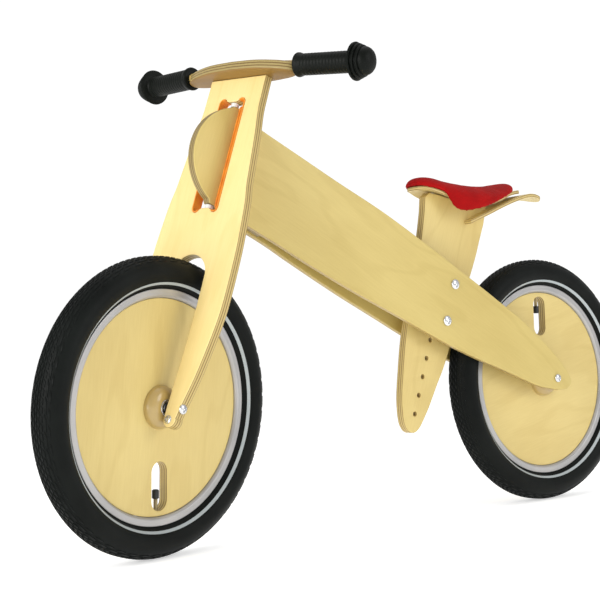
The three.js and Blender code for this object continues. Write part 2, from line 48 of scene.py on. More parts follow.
# ---------------------------------------------------------------- places, all worked out from the joints
STEER_POINT = Vector(JOINTS["steering"]["pos_m"])
STEER_AXIS = Vector(JOINTS["steering"]["axis"]).normalized()
FRONT_HUB = Vector(JOINTS["front_wheel_spin"]["pos_m"])
FRONT_AXLE = Vector(JOINTS["front_wheel_spin"]["axis"]).normalized()
REAR_HUB = Vector(JOINTS["rear_wheel_spin"]["pos_m"])
MIDDLE_X = STEER_POINT.x
HEAD_TILT = math.atan2(STEER_AXIS.y, STEER_AXIS.z)
WHEEL_RADIUS = 202.5
WHEELBASE = 762.0
AXLE_LEAD = 2.0  # front axle ahead of the steering axis
FRONT_REACH, REAR_REACH = 50.0, 41.2  # from a wheel's middle to the outer face its axle bolt holds
FRONT_SPACER_END, REAR_SPACER_END = 24.9, 31.4
SIDES = {"left": 1, "right": -1}


def axes_matrix(origin, x, y, z):
    """A matrix whose columns are the three axes, for pieces drawn in millimetres."""
    rotation = Matrix((x, y, z)).transposed().to_4x4()
    return Matrix.Translation(origin) @ rotation @ Matrix.Scale(MM, 4)


HEAD_Y = STEER_AXIS.cross(Vector((1, 0, 0))).normalized()
HEAD = axes_matrix(STEER_POINT, Vector((1, 0, 0)), HEAD_Y, STEER_AXIS)
FORK_Y = STEER_AXIS.cross(FRONT_AXLE).normalized()
FORK = axes_matrix(STEER_POINT, FRONT_AXLE, FORK_Y, STEER_AXIS)
# The frame's own drawing has y = 0 and z = 0 under the front hub of the unturned fork.
FRAME_ORIGIN = Vector((MIDDLE_X, STEER_POINT.y - AXLE_LEAD * MM * math.cos(HEAD_TILT),
                       REAR_HUB.z - WHEEL_RADIUS * MM))
FRAME = axes_matrix(FRAME_ORIGIN, Vector((1, 0, 0)), Vector((0, 1, 0)), Vector((0, 0, 1)))
REAR_SPIN = Matrix.Rotation(math.radians(-1), 4, "X")
REAR_WHEEL = Matrix.Translation(REAR_HUB) @ REAR_SPIN @ Matrix.Scale(MM, 4)
FRONT_WHEEL = (axes_matrix(FRONT_HUB, FRONT_AXLE, FORK_Y, STEER_AXIS)
               @ Matrix.Rotation(math.pi + HEAD_TILT, 4, "X"))


# ---------------------------------------------------------------- camera, lights, floor
FLOOR_REACH = 30
FLOOR_GAP = 0.0006  # keeps the tyres' lowest points clear of the floor's surface
DOME_RADIUS = 45


def point_at(obj, target):
    obj.rotation_euler = (Vector(target) - obj.location).to_track_quat("-Z", "Y").to_euler()


def add_camera():
    data = bpy.data.cameras.new("camera")
    data.lens = 78.03
    data.sensor_width = 36
    camera = bpy.data.objects.new("camera", data)
    bpy.context.scene.collection.objects.link(camera)
    yaw, pitch, roll = math.radians(51.85), math.radians(2.32), math.radians(-2.73)
    spot = Vector((1.49605, -0.92092, 0.26548)) + FRAME_ORIGIN
    turn = (Matrix.Rotation(yaw, 4, "Z") @ Matrix.Rotation(math.pi / 2 + pitch, 4, "X")
            @ Matrix.Rotation(roll, 4, "Z"))
    camera.matrix_world = Matrix.Translation(spot) @ turn
    bpy.context.scene.camera = camera


def add_light(name, location, target, size, power, color=(1, 1, 1)):
    data = bpy.data.lights.new(name, "AREA")
    data.shape = "DISK"
    data.size = size
    data.energy = power
    data.color = color
    light = bpy.data.objects.new(name, data)
    light.location = location
    bpy.context.scene.collection.objects.link(light)
    point_at(light, target)


def add_studio():
    add_light("key_light", (0.4, -3.5, 1.4), (0, -0.3, 0.25), 1.4, 54, (1.0, 0.985, 0.95))
    add_light("front_light", (1.0, -3.3, 0.35), (0, -0.4, 0.05), 1.2, 20)
    add_light("left_light", (2.6, 1.2, 1.3), (0, 0.3, 0.2), 1.6, 22)
    add_light("top_light", (0.0, 0.5, 3.2), (0, 0.1, 0.3), 2.5, 16)
    world = bpy.data.worlds.new("studio")
    world.use_nodes = True
    background = world.node_tree.nodes["Background"]
    background.inputs["Color"].default_value = (1.0, 1.0, 1.0, 1)
    background.inputs["Strength"].default_value = 0.6
    bpy.context.scene.world = world
    mesh = bpy.data.meshes.new("floor")
    corners = [(x * FLOOR_REACH, y * FLOOR_REACH, 0) for x, y in ((-1, -1), (1, -1), (1, 1), (-1, 1))]
    mesh.from_pydata(corners, [], [(0, 1, 2, 3)])
    floor = bpy.data.objects.new("floor", mesh)
    floor.location.z = -FLOOR_GAP
    bpy.context.scene.collection.objects.link(floor)
    floor.data.materials.append(floor_material())
    add_backdrop()
    bpy.context.scene.view_settings.view_transform = "Standard"


def add_backdrop():
    """A white studio dome that only shows behind the bike and sends no light to it."""
    work = bmesh.new()
    bmesh.ops.create_icosphere(work, subdivisions=4, radius=DOME_RADIUS)
    mesh = finished(work, "backdrop")
    dome = bpy.data.objects.new("backdrop", mesh)
    bpy.context.scene.collection.objects.link(dome)
    for ray in ("diffuse", "glossy", "transmission", "shadow"):
        setattr(dome, f"visible_{ray}", False)
    nodes = Nodes("backdrop")
    nodes.set(base=grey(0.0), roughness=1.0, specular=0.0)
    nodes.shader.inputs["Emission Color"].default_value = grey(1.0)
    nodes.shader.inputs["Emission Strength"].default_value = 1.05
    mesh.materials.append(nodes.material)


# ---------------------------------------------------------------- node material helpers
MIX_A, MIX_B, MIX_RESULT = 6, 7, 2  # the colour sockets of a Mix node, which share their names with others


class Nodes:
    """A short way to write a node tree: every call adds one node and returns it."""

    def __init__(self, name):
        self.material = bpy.data.materials.new(name)
        self.material.use_nodes = True
        self.tree = self.material.node_tree
        self.shader = self.tree.nodes["Principled BSDF"]

    def add(self, kind, inputs=None, **settings):
        node = self.tree.nodes.new(f"ShaderNode{kind}")
        for name, value in settings.items():
            setattr(node, name, value)
        for name, value in (inputs or {}).items():
            self.put(node.inputs[name], value)
        return node

    def put(self, socket, value):
        if isinstance(value, bpy.types.NodeSocket):
            self.tree.links.new(value, socket)
        else:
            socket.default_value = value

    def place(self, scale=(1, 1, 1)):
        coordinates = self.add("TexCoord").outputs["Object"]
        return self.add("Mapping", {"Vector": coordinates, "Scale": scale}).outputs["Vector"]

    def noise(self, vector, scale, detail=3.0, roughness=0.5):
        node = self.add("TexNoise", {"Vector": vector, "Scale": scale, "Detail": detail,
                                     "Roughness": roughness})
        return node.outputs["Fac"]

    def math(self, operation, first, second=0.0):
        node = self.add("Math", operation=operation)
        self.put(node.inputs[0], first)
        self.put(node.inputs[1], second)
        return node.outputs[0]

    def ramp(self, fac, stops):
        node = self.add("ValToRGB", {"Fac": fac})
        ramp = node.color_ramp
        while len(ramp.elements) < len(stops):
            ramp.elements.new(0.5)
        for element, (place, color) in zip(ramp.elements, stops):
            element.position = place
            element.color = (*color, 1) if len(color) == 3 else color
        return node.outputs["Color"]

    def span(self, value, low, high, to_low=0.0, to_high=1.0):
        node = self.add("MapRange", {"Value": value, "From Min": low, "From Max": high,
                                     "To Min": to_low, "To Max": to_high})
        return node.outputs["Result"]

    def mix(self, fac, first, second):
        node = self.add("Mix", data_type="RGBA")
        self.put(node.inputs["Factor"], fac)
        self.put(node.inputs[MIX_A], first)
        self.put(node.inputs[MIX_B], second)
        return node.outputs[MIX_RESULT]

    def dot(self, vector, direction):
        node = self.add("VectorMath", {0: vector, 1: tuple(direction)}, operation="DOT_PRODUCT")
        return node.outputs["Value"]

    def bump(self, height, strength, distance):
        node = self.add("Bump", {"Height": height, "Strength": strength, "Distance": distance})
        self.tree.links.new(node.outputs["Normal"], self.shader.inputs["Normal"])

    def set(self, **values):
        for name, value in values.items():
            self.put(self.shader.inputs[SOCKET_NAMES.get(name, name.capitalize())], value)


SOCKET_NAMES = {"base": "Base Color", "coat": "Coat Weight", "coat_roughness": "Coat Roughness",
                "sheen": "Sheen Weight", "sheen_roughness": "Sheen Roughness", "sheen_tint": "Sheen Tint",
                "specular": "Specular IOR Level", "anisotropic": "Anisotropic", "ior": "IOR"}


def grey(value):
    return (value, value, value, 1)


# ---------------------------------------------------------------- materials
BOARD_PLACE = "board_place"  # each board's vertices keep their place in its flat drawing, in millimetres


def birch_face(nodes, along, across, light, dark):
    """Colour of a rotary-cut birch face from places in metres along and across the grain, and its pores."""
    pores = nodes.add("CombineXYZ", {"X": nodes.math("MULTIPLY", along, 24.0),
                                     "Y": nodes.math("MULTIPLY", across, 420.0)}).outputs[0]
    clouds = nodes.add("CombineXYZ", {"X": nodes.math("MULTIPLY", along, 4.0),
                                      "Y": nodes.math("MULTIPLY", across, 11.0)}).outputs[0]
    growth = nodes.add("CombineXYZ", {"X": nodes.math("MULTIPLY", along, 2.6),
                                      "Y": nodes.math("MULTIPLY", across, 9.0), "Z": 3.7}).outputs[0]
    fine = nodes.noise(pores, 1.0, 4.0, 0.6)
    broad = nodes.noise(clouds, 1.0, 3.0, 0.5)
    rings = nodes.math("SINE", nodes.math("MULTIPLY", nodes.noise(growth, 1.0, 2.0, 0.45), 52.0))
    lines = nodes.span(rings, 0.55, 1.0, 0.0, 0.26)
    tone = nodes.math("ADD", nodes.math("MULTIPLY", fine, 0.35), nodes.math("MULTIPLY", broad, 0.65))
    tone = nodes.math("SUBTRACT", tone, nodes.math("MULTIPLY", lines, 0.4))
    return nodes.ramp(tone, [(0.26, dark), (0.66, light)]), fine


def plywood(name, light, dark, grain_angle=90.0, plies=7, thickness=15.0, rounding=1.6,
            edge_tone=1.0):
    """Birch ply, drawn from the flat board's own places. The grain angle is counted from the board's x."""
    nodes = Nodes(name)
    place = nodes.add("Attribute", attribute_name=BOARD_PLACE).outputs["Vector"]
    angle = math.radians(grain_angle)
    along = nodes.dot(place, (math.cos(angle) * MM, math.sin(angle) * MM, 0))
    across = nodes.dot(place, (-math.sin(angle) * MM, math.cos(angle) * MM, 0))
    depth = nodes.dot(place, (0, 0, 1))
    face, fine = birch_face(nodes, along, across, light, dark)
    wobble = nodes.math("MULTIPLY", nodes.math("SUBTRACT", nodes.noise(nodes.place(), 34.0), 0.5), 0.3)
    layer = nodes.math("ADD", nodes.math("MULTIPLY", depth, plies / thickness), wobble)
    band = nodes.math("COSINE", nodes.math("MULTIPLY", layer, math.pi))
    end_grain = nodes.noise(nodes.place(), 500.0, 2.0)
    ply = nodes.math("ADD", nodes.span(band, -1.0, 0.2, 0.0, 0.8), nodes.math("MULTIPLY", end_grain, 0.2))
    tones = [(0.1, (0.16, 0.08, 0.018)), (0.4, (0.40, 0.26, 0.08)), (0.75, (0.56, 0.43, 0.16))]
    edge = nodes.ramp(ply, [(stop, tuple(edge_tone * part for part in color)) for stop, color in tones])
    top = thickness / 2
    is_face = nodes.span(nodes.math("ABSOLUTE", depth), top - 0.75 * rounding, top - 0.4 * rounding)
    nodes.set(base=nodes.mix(is_face, edge, face), roughness=nodes.span(fine, 0.2, 0.8, 0.4, 0.54), coat=0.12,
              coat_roughness=0.25, specular=0.4)
    nodes.bump(nodes.math("ADD", fine, nodes.math("MULTIPLY", band, 0.5)), 0.12, 0.0005)
    return nodes.material


def turned_birch(name, centre, axle):
    """Solid birch turned on a lathe: faint rings round the axle over the grain, under a satin lacquer. Its
    colour is darkened with painted shade.
    """
    nodes = Nodes(name)
    spot = nodes.add("TexCoord").outputs["Object"]
    arm = nodes.add("VectorMath", {0: spot, 1: tuple(centre)}, operation="SUBTRACT").outputs["Vector"]
    radius = nodes.add("VectorMath", {0: arm}, operation="LENGTH").outputs["Value"]
    sideways = Vector(axle).orthogonal()
    face, fine = birch_face(nodes, nodes.dot(arm, axle), nodes.dot(arm, sideways), BIRCH_LIGHT, BIRCH_DARK)
    turning = nodes.math("SINE", nodes.math("MULTIPLY", radius, 5200.0))
    # Mixed 70% towards deep brown: painted shade for the boss's shaded side, over the lacquered wood's own
    # warm tone.
    painted_shade_tone = nodes.mix(0.7, face, (0.37, 0.235, 0.065, 1))
    nodes.set(base=painted_shade_tone, roughness=0.32, coat=0.8, coat_roughness=0.1)
    nodes.bump(nodes.math("ADD", nodes.math("MULTIPLY", turning, 0.3), fine), 0.1, 0.0004)
    return nodes.material


def rubber(name, color, bump_scale=900.0, roughness=0.62):
    nodes = Nodes(name)
    spot = nodes.place()
    speckle = nodes.noise(spot, bump_scale, 3.0)
    cloud = nodes.noise(spot, 14.0, 4.0)
    dust = nodes.mix(nodes.span(cloud, 0.35, 0.75), (*color, 1), (*[c * 1.7 + 0.002 for c in color], 1))
    nodes.set(base=dust, roughness=nodes.span(speckle, 0.2, 0.8, roughness - 0.09, roughness + 0.08),
              specular=0.1)
    nodes.bump(speckle, 0.25, 0.0004)
    return nodes.material


def metal(name, color, roughness):
    nodes = Nodes(name)
    grain = nodes.noise(nodes.place((400, 400, 400)), 1.0, 4.0, 0.6)
    cloud = nodes.noise(nodes.place(), 22.0, 2.0)
    tint = nodes.mix(nodes.span(cloud, 0.3, 0.7), (*[c * 0.93 for c in color], 1), (*color, 1))
    nodes.set(base=tint, metallic=1.0,
              roughness=nodes.span(grain, 0.2, 0.8, roughness - 0.06, roughness + 0.08))
    nodes.bump(grain, 0.06, 0.0003)
    return nodes.material


def rim_metal(name, hub, axle):
    """Anodised rim: fine turning lines follow the radius from the hub."""
    nodes = Nodes(name)
    spot = nodes.add("TexCoord").outputs["Object"]
    arm = nodes.add("VectorMath", {0: spot, 1: tuple(hub)}, operation="SUBTRACT").outputs["Vector"]
    off_axle = nodes.dot(arm, axle)
    length = nodes.add("VectorMath", {0: arm}, operation="LENGTH").outputs["Value"]
    lines = nodes.add("CombineXYZ", {"X": nodes.math("MULTIPLY", length, 5200.0),
                                     "Y": nodes.math("MULTIPLY", off_axle, 5200.0)}).outputs[0]
    turning = nodes.noise(lines, 1.0, 2.0)
    cloud = nodes.noise(spot, 18.0, 2.0)
    tint = nodes.mix(nodes.span(cloud, 0.3, 0.7), (0.39, 0.385, 0.385, 1), (0.46, 0.45, 0.445, 1))
    nodes.set(base=tint, metallic=0.55, roughness=nodes.span(turning, 0.3, 0.7, 0.34, 0.46))
    nodes.bump(turning, 0.1, 0.0002)
    return nodes.material


def leather_material():
    nodes = Nodes("orange_leather")
    spot = nodes.place()
    cells = nodes.add("TexVoronoi", {"Vector": spot, "Scale": 900.0}, feature="DISTANCE_TO_EDGE")
    cloud = nodes.noise(spot, 60.0, 4.0)
    color = nodes.ramp(cloud, [(0.3, (0.72, 0.20, 0.008)), (0.7, (0.90, 0.33, 0.02))])
    grain = nodes.span(cells.outputs["Distance"], 0.0, 0.25)
    nodes.set(base=color, roughness=nodes.span(cloud, 0.3, 0.7, 0.45, 0.6), sheen=0.15, sheen_roughness=0.4)
    nodes.bump(grain, 0.3, 0.0005)
    return nodes.material


def fabric_material():
    """Red cover: a fine plain weave of two crossing thread directions."""
    nodes = Nodes("red_cover")
    spot = nodes.add("TexCoord").outputs["Object"]
    parts = nodes.add("SeparateXYZ", {"Vector": spot}).outputs
    thread = 2 * math.pi / 0.0011
    along = nodes.math("ADD", nodes.math("MULTIPLY", parts["Y"], thread),
                       nodes.math("MULTIPLY", parts["Z"], thread * 0.6))
    across = nodes.math("ADD", nodes.math("MULTIPLY", parts["X"], thread),
                        nodes.math("MULTIPLY", parts["Z"], thread * 0.6))
    weave = nodes.math("MULTIPLY", nodes.math("SINE", along), nodes.math("SINE", across))
    cloud = nodes.noise(nodes.place(), 26.0, 4.0)
    fuzz = nodes.noise(nodes.place(), 1400.0, 2.0)
    tone = nodes.math("ADD", nodes.math("MULTIPLY", cloud, 0.8), nodes.math("MULTIPLY", weave, 0.08))
    color = nodes.ramp(tone, [(0.15, (0.24, 0.001, 0.0015)), (0.45, (0.34, 0.0015, 0.002)),
                              (0.75, (0.52, 0.006, 0.005))])
    nodes.set(base=color, roughness=nodes.span(fuzz, 0.2, 0.8, 0.66, 0.84), sheen=0.04, sheen_roughness=0.5,
              sheen_tint=(1.0, 0.3, 0.25, 1), specular=0.12)
    nodes.bump(nodes.math("ADD", weave, fuzz), 0.22, 0.0004)
    return nodes.material


def plastic(name, color, roughness=0.4):
    nodes = Nodes(name)
    grain = nodes.noise(nodes.place(), 1100.0, 2.0)
    cloud = nodes.noise(nodes.place(), 40.0, 2.0)
    tint = nodes.mix(cloud, (*color, 1), (*[c * 0.86 for c in color], 1))
    nodes.set(base=tint, roughness=nodes.span(grain, 0.2, 0.8, roughness - 0.05, roughness + 0.08))
    nodes.bump(grain, 0.12, 0.0003)
    return nodes.material


def stripe_material():
    nodes = Nodes("reflective_stripe")
    beads = nodes.noise(nodes.place(), 2600.0, 2.0)
    color = nodes.ramp(beads, [(0.3, (0.34, 0.38, 0.40)), (0.7, (0.48, 0.53, 0.55))])
    nodes.set(base=color, roughness=0.45, metallic=0.2)
    nodes.bump(beads, 0.15, 0.0002)
    return nodes.material


def floor_material():
    nodes = Nodes("floor")
    cloud = nodes.noise(nodes.place(), 1.5, 2.0)
    nodes.set(base=nodes.ramp(cloud, [(0.3, (0.90, 0.90, 0.89)), (0.7, (0.93, 0.93, 0.92))]), roughness=0.9)
    nodes.shader.inputs["Emission Color"].default_value = grey(1.0)
    nodes.shader.inputs["Emission Strength"].default_value = 0.5
    return nodes.material


BIRCH_LIGHT, BIRCH_DARK = (0.70, 0.555, 0.215), (0.60, 0.45, 0.155)
PANEL_LIGHT, PANEL_DARK = (0.615, 0.485, 0.165), (0.51, 0.385, 0.112)
PALE_LIGHT, PALE_DARK = (0.85, 0.675, 0.30), (0.76, 0.575, 0.22)
# The handlebar's colours are a much darker brown than birch: painted shade for the shadow on its underside
# over the fork top.
BAR_SHADED_LIGHT, BAR_SHADED_DARK = (0.26, 0.145, 0.028), (0.185, 0.10, 0.017)
MATERIALS = {
    "fork": plywood("fork_ply", PALE_LIGHT, PALE_DARK, 90),
    # Edge tone 0.62 darkens the handlebar's ply edges as well: painted shade.
    "bar": plywood("bar_ply_painted_shade", BAR_SHADED_LIGHT, BAR_SHADED_DARK, 0, rounding=2.6, edge_tone=0.62),
    "panel": plywood("panel_ply", PANEL_LIGHT, PANEL_DARK, -31, 5, 9.0, 1.3),
    "head": plywood("head_ply", PANEL_LIGHT, PANEL_DARK, 90, rounding=1.8, edge_tone=0.55),
    "post": plywood("post_ply", BIRCH_LIGHT, BIRCH_DARK, 70),
    "seat": plywood("seat_ply", BIRCH_LIGHT, BIRCH_DARK, 90, 3, 6.0, 1.4),
    "front_disc": plywood("front_disc_ply", BIRCH_LIGHT, BIRCH_DARK, 84, rounding=0.9),
    "rear_disc": plywood("rear_disc_ply", BIRCH_LIGHT, BIRCH_DARK, 12, rounding=0.9),
    "front_boss": turned_birch("front_boss_wood", FRONT_HUB, FRONT_AXLE),
    "rear_boss": turned_birch("rear_boss_wood", REAR_HUB, Vector((1, 0, 0))),
    "tyre": rubber("tyre_rubber", (0.003, 0.004, 0.0035), 1100.0, 0.5),
    "grip": rubber("grip_rubber", (0.0035, 0.0045, 0.0035), 800.0, 0.45),
    "tube": rubber("tube_rubber", (0.01, 0.01, 0.01)),
    "front_rim": rim_metal("front_rim_metal", FRONT_HUB, FRONT_AXLE),
    "rear_rim": rim_metal("rear_rim_metal", REAR_HUB, (1, 0, 0)),
    "steel": metal("zinc_steel", (0.74, 0.75, 0.77), 0.24),
    "brass": metal("valve_brass", (0.55, 0.47, 0.30), 0.34),
    "black": plastic("black_plastic", (0.006, 0.006, 0.006)),
    "nylon": plastic("white_nylon", (0.82, 0.82, 0.80), 0.35),
    "leather": leather_material(),
    "fabric": fabric_material(),
    "stripe": stripe_material(),
}


# ---------------------------------------------------------------- outline helpers, in millimetres
def arc(u, v, radius, start, end, steps):
    angles = [start + (end - start) * i / steps for i in range(steps + 1)]
    return [(u + radius * math.cos(a), v + radius * math.sin(a)) for a in angles]


def circle(u, v, radius, steps=32):
    return arc(u, v, radius, 0, 2 * math.pi, steps)[1:]


def smooth(points, steps):
    """Catmull-Rom curve through the points, at evenly spaced places."""
    points = [np.array(p, float) for p in points]
    padded = [2 * points[0] - points[1], *points, 2 * points[-1] - points[-2]]
    dense = []
    for a, b, c, d in zip(padded, padded[1:], padded[2:], padded[3:]):
        for t in np.linspace(0, 1, 16, endpoint=False):
            dense.append(0.5 * (2 * b + (c - a) * t + (2 * a - 5 * b + 4 * c - d) * t ** 2
                                + (3 * b - a - 3 * c + d) * t ** 3))
    dense = np.array([*dense, points[-1]])
    lengths = np.concatenate([[0], np.cumsum(np.linalg.norm(np.diff(dense, axis=0), axis=1))])
    wanted = np.linspace(0, lengths[-1], steps + 1)
    return [tuple(np.interp(w, lengths, dense[:, k]) for k in range(dense.shape[1])) for w in wanted]


def mirrored(half):
    """The other half of an outline that is the same on both sides of u = 0."""
    return [(-u, v) for u, v in reversed(half)]


# ---------------------------------------------------------------- mesh helpers
def add_object(name, mesh, matrix, material, body, *replaced, slot=None):
    """Adds one piece with its material. The slot argument is not used."""
    mesh.transform(matrix)
    if matrix.determinant() < 0:
        mesh.flip_normals()
    piece = bpy.data.objects.new(name, mesh)
    bpy.context.scene.collection.objects.link(piece)
    piece.data.materials.clear()
    piece.data.materials.append(MATERIALS[material])
    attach(piece, body)
    if replaced:
        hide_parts(*replaced)
    return piece


def shade_smooth(mesh, angle=32):
    """Smooth shading, with edges sharper than the angle kept crisp."""
    mesh.shade_smooth()
    mesh.set_sharp_from_angle(angle=math.radians(angle))


def finished(work, name):
    """The mesh of what has been drawn, which ends the drawing."""
    mesh = bpy.data.meshes.new(name)
    work.to_mesh(mesh)
    work.free()
    return mesh


def board_mesh(name, outline, thickness, rounding, holes=()):
    """A board in its own x-y plane, centred on z = 0, with rounded edges."""
    curve = bpy.data.curves.new(name, "CURVE")
    curve.dimensions = "2D"
    curve.fill_mode = "BOTH"
    curve.extrude = thickness / 2 - rounding
    curve.bevel_depth = rounding
    curve.bevel_resolution = 3
    curve.offset = -rounding
    for loop in (outline, *holes):
        spline = curve.splines.new("POLY")
        spline.points.add(len(loop) - 1)
        for point, (u, v) in zip(spline.points, loop):
            point.co = (u, v, 0, 1)
        spline.use_cyclic_u = True
    holder = bpy.data.objects.new(name, curve)
    bpy.context.scene.collection.objects.link(holder)
    mesh = bpy.data.meshes.new_from_object(holder.evaluated_get(bpy.context.evaluated_depsgraph_get()))
    bpy.data.objects.remove(holder)
    mesh.name = name
    merge_close(mesh)
    shade_smooth(mesh)
    remember_place(mesh)
    return mesh


def remember_place(mesh):
    """Writes every vertex's present place, so that a material follows a board that is bent afterwards."""
    attribute = mesh.attributes.get(BOARD_PLACE) or mesh.attributes.new(BOARD_PLACE, "FLOAT_VECTOR", "POINT")
    places = np.empty(len(mesh.vertices) * 3, np.float32)
    mesh.vertices.foreach_get("co", places)
    attribute.data.foreach_set("vector", places)


def merge_close(mesh, distance=0.004):
    work = bmesh.new()
    work.from_mesh(mesh)
    bmesh.ops.remove_doubles(work, verts=work.verts, dist=distance)
    bmesh.ops.recalc_face_normals(work, faces=work.faces)
    work.to_mesh(mesh)
    work.free()


def slice_mesh(mesh, axis, places):
    """Extra edges across a flat board, so that it can be bent."""
    normal = Vector((0, 0, 0))
    normal[axis] = 1
    work = bmesh.new()
    work.from_mesh(mesh)
    for place in places:
        spot = Vector((0, 0, 0))
        spot[axis] = place
        geometry = work.verts[:] + work.edges[:] + work.faces[:]
        bmesh.ops.bisect_plane(work, geom=geometry, plane_co=spot, plane_no=normal, dist=1e-5)
    work.to_mesh(mesh)
    work.free()


def warp(mesh, change):
    remember_place(mesh)
    for vertex in mesh.vertices:
        vertex.co = change(vertex.co)
    mesh.update()


def turned_mesh(name, profile, steps=96, closed=True):
    """A profile of (radius, x) turned round the X axis. An open profile starts and ends on the axis."""
    work = bmesh.new()
    rings = []
    for radius, x in profile:
        if radius < 1e-6:
            rings.append([work.verts.new((x, 0, 0))] * steps)
            continue
        angles = [2 * math.pi * i / steps for i in range(steps)]
        rings.append([work.verts.new((x, radius * math.cos(a), radius * math.sin(a))) for a in angles])
    pairs = list(zip(rings, rings[1:]))
    if closed:
        pairs.append((rings[-1], rings[0]))
    for first, second in pairs:
        for i in range(steps):
            j = (i + 1) % steps
            corners = dict.fromkeys((first[i], first[j], second[j], second[i]))
            if len(corners) > 2:
                work.faces.new(tuple(corners))
    bmesh.ops.recalc_face_normals(work, faces=work.faces)
    mesh = finished(work, name)
    shade_smooth(mesh, 38)
    return mesh


def rounded(profile, radius, steps=4):
    """The closed profile with each corner replaced by a small arc-like curve."""
    result = []
    count = len(profile)
    for i, corner in enumerate(profile):
        before, here, after = (Vector(profile[i - 1]), Vector(corner), Vector(profile[(i + 1) % count]))
        reach = min(radius, 0.45 * (before - here).length, 0.45 * (after - here).length)
        start = here + (before - here).normalized() * reach
        end = here + (after - here).normalized() * reach
        for k in range(steps + 1):
            t = k / steps
            spot = (1 - t) ** 2 * start + 2 * t * (1 - t) * here + t ** 2 * end
            result.append(tuple(spot))
    return result


def drawn_facing_x():
    """Turns a board from its own x-y plane so that x runs along Y, y along Z and its thickness along X."""
    matrix = Matrix.Identity(4)
    matrix.col[0] = (0, 1, 0, 0)
    matrix.col[1] = (0, 0, 1, 0)
    matrix.col[2] = (1, 0, 0, 0)
    return matrix


def drawn_facing_y():
    """Turns a board so that x stays along X, y runs along Z and its thickness along -Y."""
    matrix = Matrix.Identity(4)
    matrix.col[1] = (0, 0, 1, 0)
    matrix.col[2] = (0, -1, 0, 0)
    return matrix


MIRROR_X = Matrix.Scale(-1, 4, (1, 0, 0))


def on_side(matrix, sign):
    """The same placing for the left side, or mirrored across the bike's middle for the right."""
    return matrix if sign > 0 else matrix @ MIRROR_X


# ---------------------------------------------------------------- wheels
DISC_RADIUS = 145.9
TYRE_HALF_WIDTH = 25.1
BOSS_RADIUS = 29.5
BOSS_FACE = 22.3
PLY = 15.0


SECTION = np.array(smooth([
    (WHEEL_RADIUS - 0.9, 0), (201.0, 8), (196.6, 16), (189.5, 22.2), (180, TYRE_HALF_WIDTH - 0.1),
    (170.5, 22.6), (163.5, 16.6), (159.4, 11.2), (157.2, 9.9), (152.5, 9.8)], 60))


def tyre_section(share):
    """Half of the tyre's outer profile as (radius, x): 0 at the crown, 1 at the bead."""
    steps = np.arange(len(SECTION))
    place = share * (len(SECTION) - 1)
    return float(np.interp(place, steps, SECTION[:, 0])), float(np.interp(place, steps, SECTION[:, 1]))


def tyre_mesh(name):
    """Carcass with an inner face, so that the tyre is a closed ring with a real wall."""
    half = [tyre_section(i / 30) for i in range(31)]
    outside = [(r, -x) for r, x in reversed(half)][:-1] + half
    inside = smooth([(152.5, 7.2), (164, 10.4), (174, 19), (184, 20.5), (194, 12), (197.4, 0)], 10)
    inner = inside + [(r, -x) for r, x in reversed(inside)][1:]
    return turned_mesh(name, outside + inner, 160)


TREAD_ROWS = [  # centre along the section, half length along it, turns per wheel, shift, half angle share
    (0.000, 0.0165, 116, 0.0, 0.37), (0.062, 0.0180, 116, 0.5, 0.36), (0.128, 0.0180, 116, 0.0, 0.36),
    (0.198, 0.0200, 58, 0.25, 0.40), (0.268, 0.0150, 58, 0.75, 0.30)]


def tread_mesh(name):
    """Low rounded tread blocks in rows across the crown."""
    work = bmesh.new()
    height = 0.75
    for middle, half, count, shift, share in TREAD_ROWS:
        for sign in ((1,) if middle == 0 else (1, -1)):
            for i in range(count):
                turn = 2 * math.pi * (i + shift) / count
                reach = share * 2 * math.pi / count
                skew = 0.35 * reach * sign
                add_block(work, middle, half, turn, reach, skew, sign, height)
    bmesh.ops.recalc_face_normals(work, faces=work.faces)
    mesh = finished(work, name)
    shade_smooth(mesh, 50)
    return mesh


def add_block(work, middle, half, turn, reach, skew, sign, height):
    """One block: a foot sunk in the rubber, straight sides and a slightly smaller top."""
    layers = []
    for lift, shrink in ((-0.6, 1.0), (height * 0.7, 1.0), (height, 0.86)):
        corners = []
        for u, v in ((-1, -1), (0, -1.0), (1, -1), (1, 1), (0, 1.0), (-1, 1)):
            along = middle + half * u * shrink
            radius, x = tyre_section(abs(along))
            x = math.copysign(x, along) * sign if middle == 0 else x * sign
            inward = tyre_section(min(1, abs(along) + 0.004))
            tangent = Vector((inward[0] - radius, (inward[1] - abs(x)))).normalized()
            outward = Vector((tangent.y, -tangent.x))
            r = radius + outward.x * lift
            side = math.copysign(1, x) if abs(x) > 1e-6 else 0
            across = x + side * outward.y * lift * (1 if outward.y > 0 else 0)
            angle = turn + reach * v * shrink + skew * u
            corners.append(work.verts.new((across, r * math.cos(angle), r * math.sin(angle))))
        layers.append(corners)
    for lower, upper in zip(layers, layers[1:]):
        for i in range(6):
            j = (i + 1) % 6
            work.faces.new((lower[i], lower[j], upper[j], upper[i]))
    work.faces.new(layers[-1])
    work.faces.new(list(reversed(layers[0])))


def sidewall(radius):
    """Half width of the tyre at a radius between the bead and the widest place."""
    wall = SECTION[SECTION[:, 0] < 178][::-1]
    return float(np.interp(radius, wall[:, 0], wall[:, 1]))


def stripe_mesh(name):
    """Thin reflective band round both sidewalls."""
    low, high = 163.7, 167.0
    radii = np.linspace(low, high, 4)
    parts = []
    for sign in (1, -1):
        shown = [(r - 0.1, (sidewall(r) + 0.25) * sign) for r in radii]
        sunk = [(r + 0.3, (sidewall(r) - 0.5) * sign) for r in radii[::-1]]
        parts.append(turned_mesh(name, shown + sunk, 160))
    return joined(name, parts)


def joined(name, meshes):
    work = bmesh.new()
    for mesh in meshes:
        work.from_mesh(mesh)
        bpy.data.meshes.remove(mesh)
    result = finished(work, name)
    shade_smooth(result, 38)
    return result


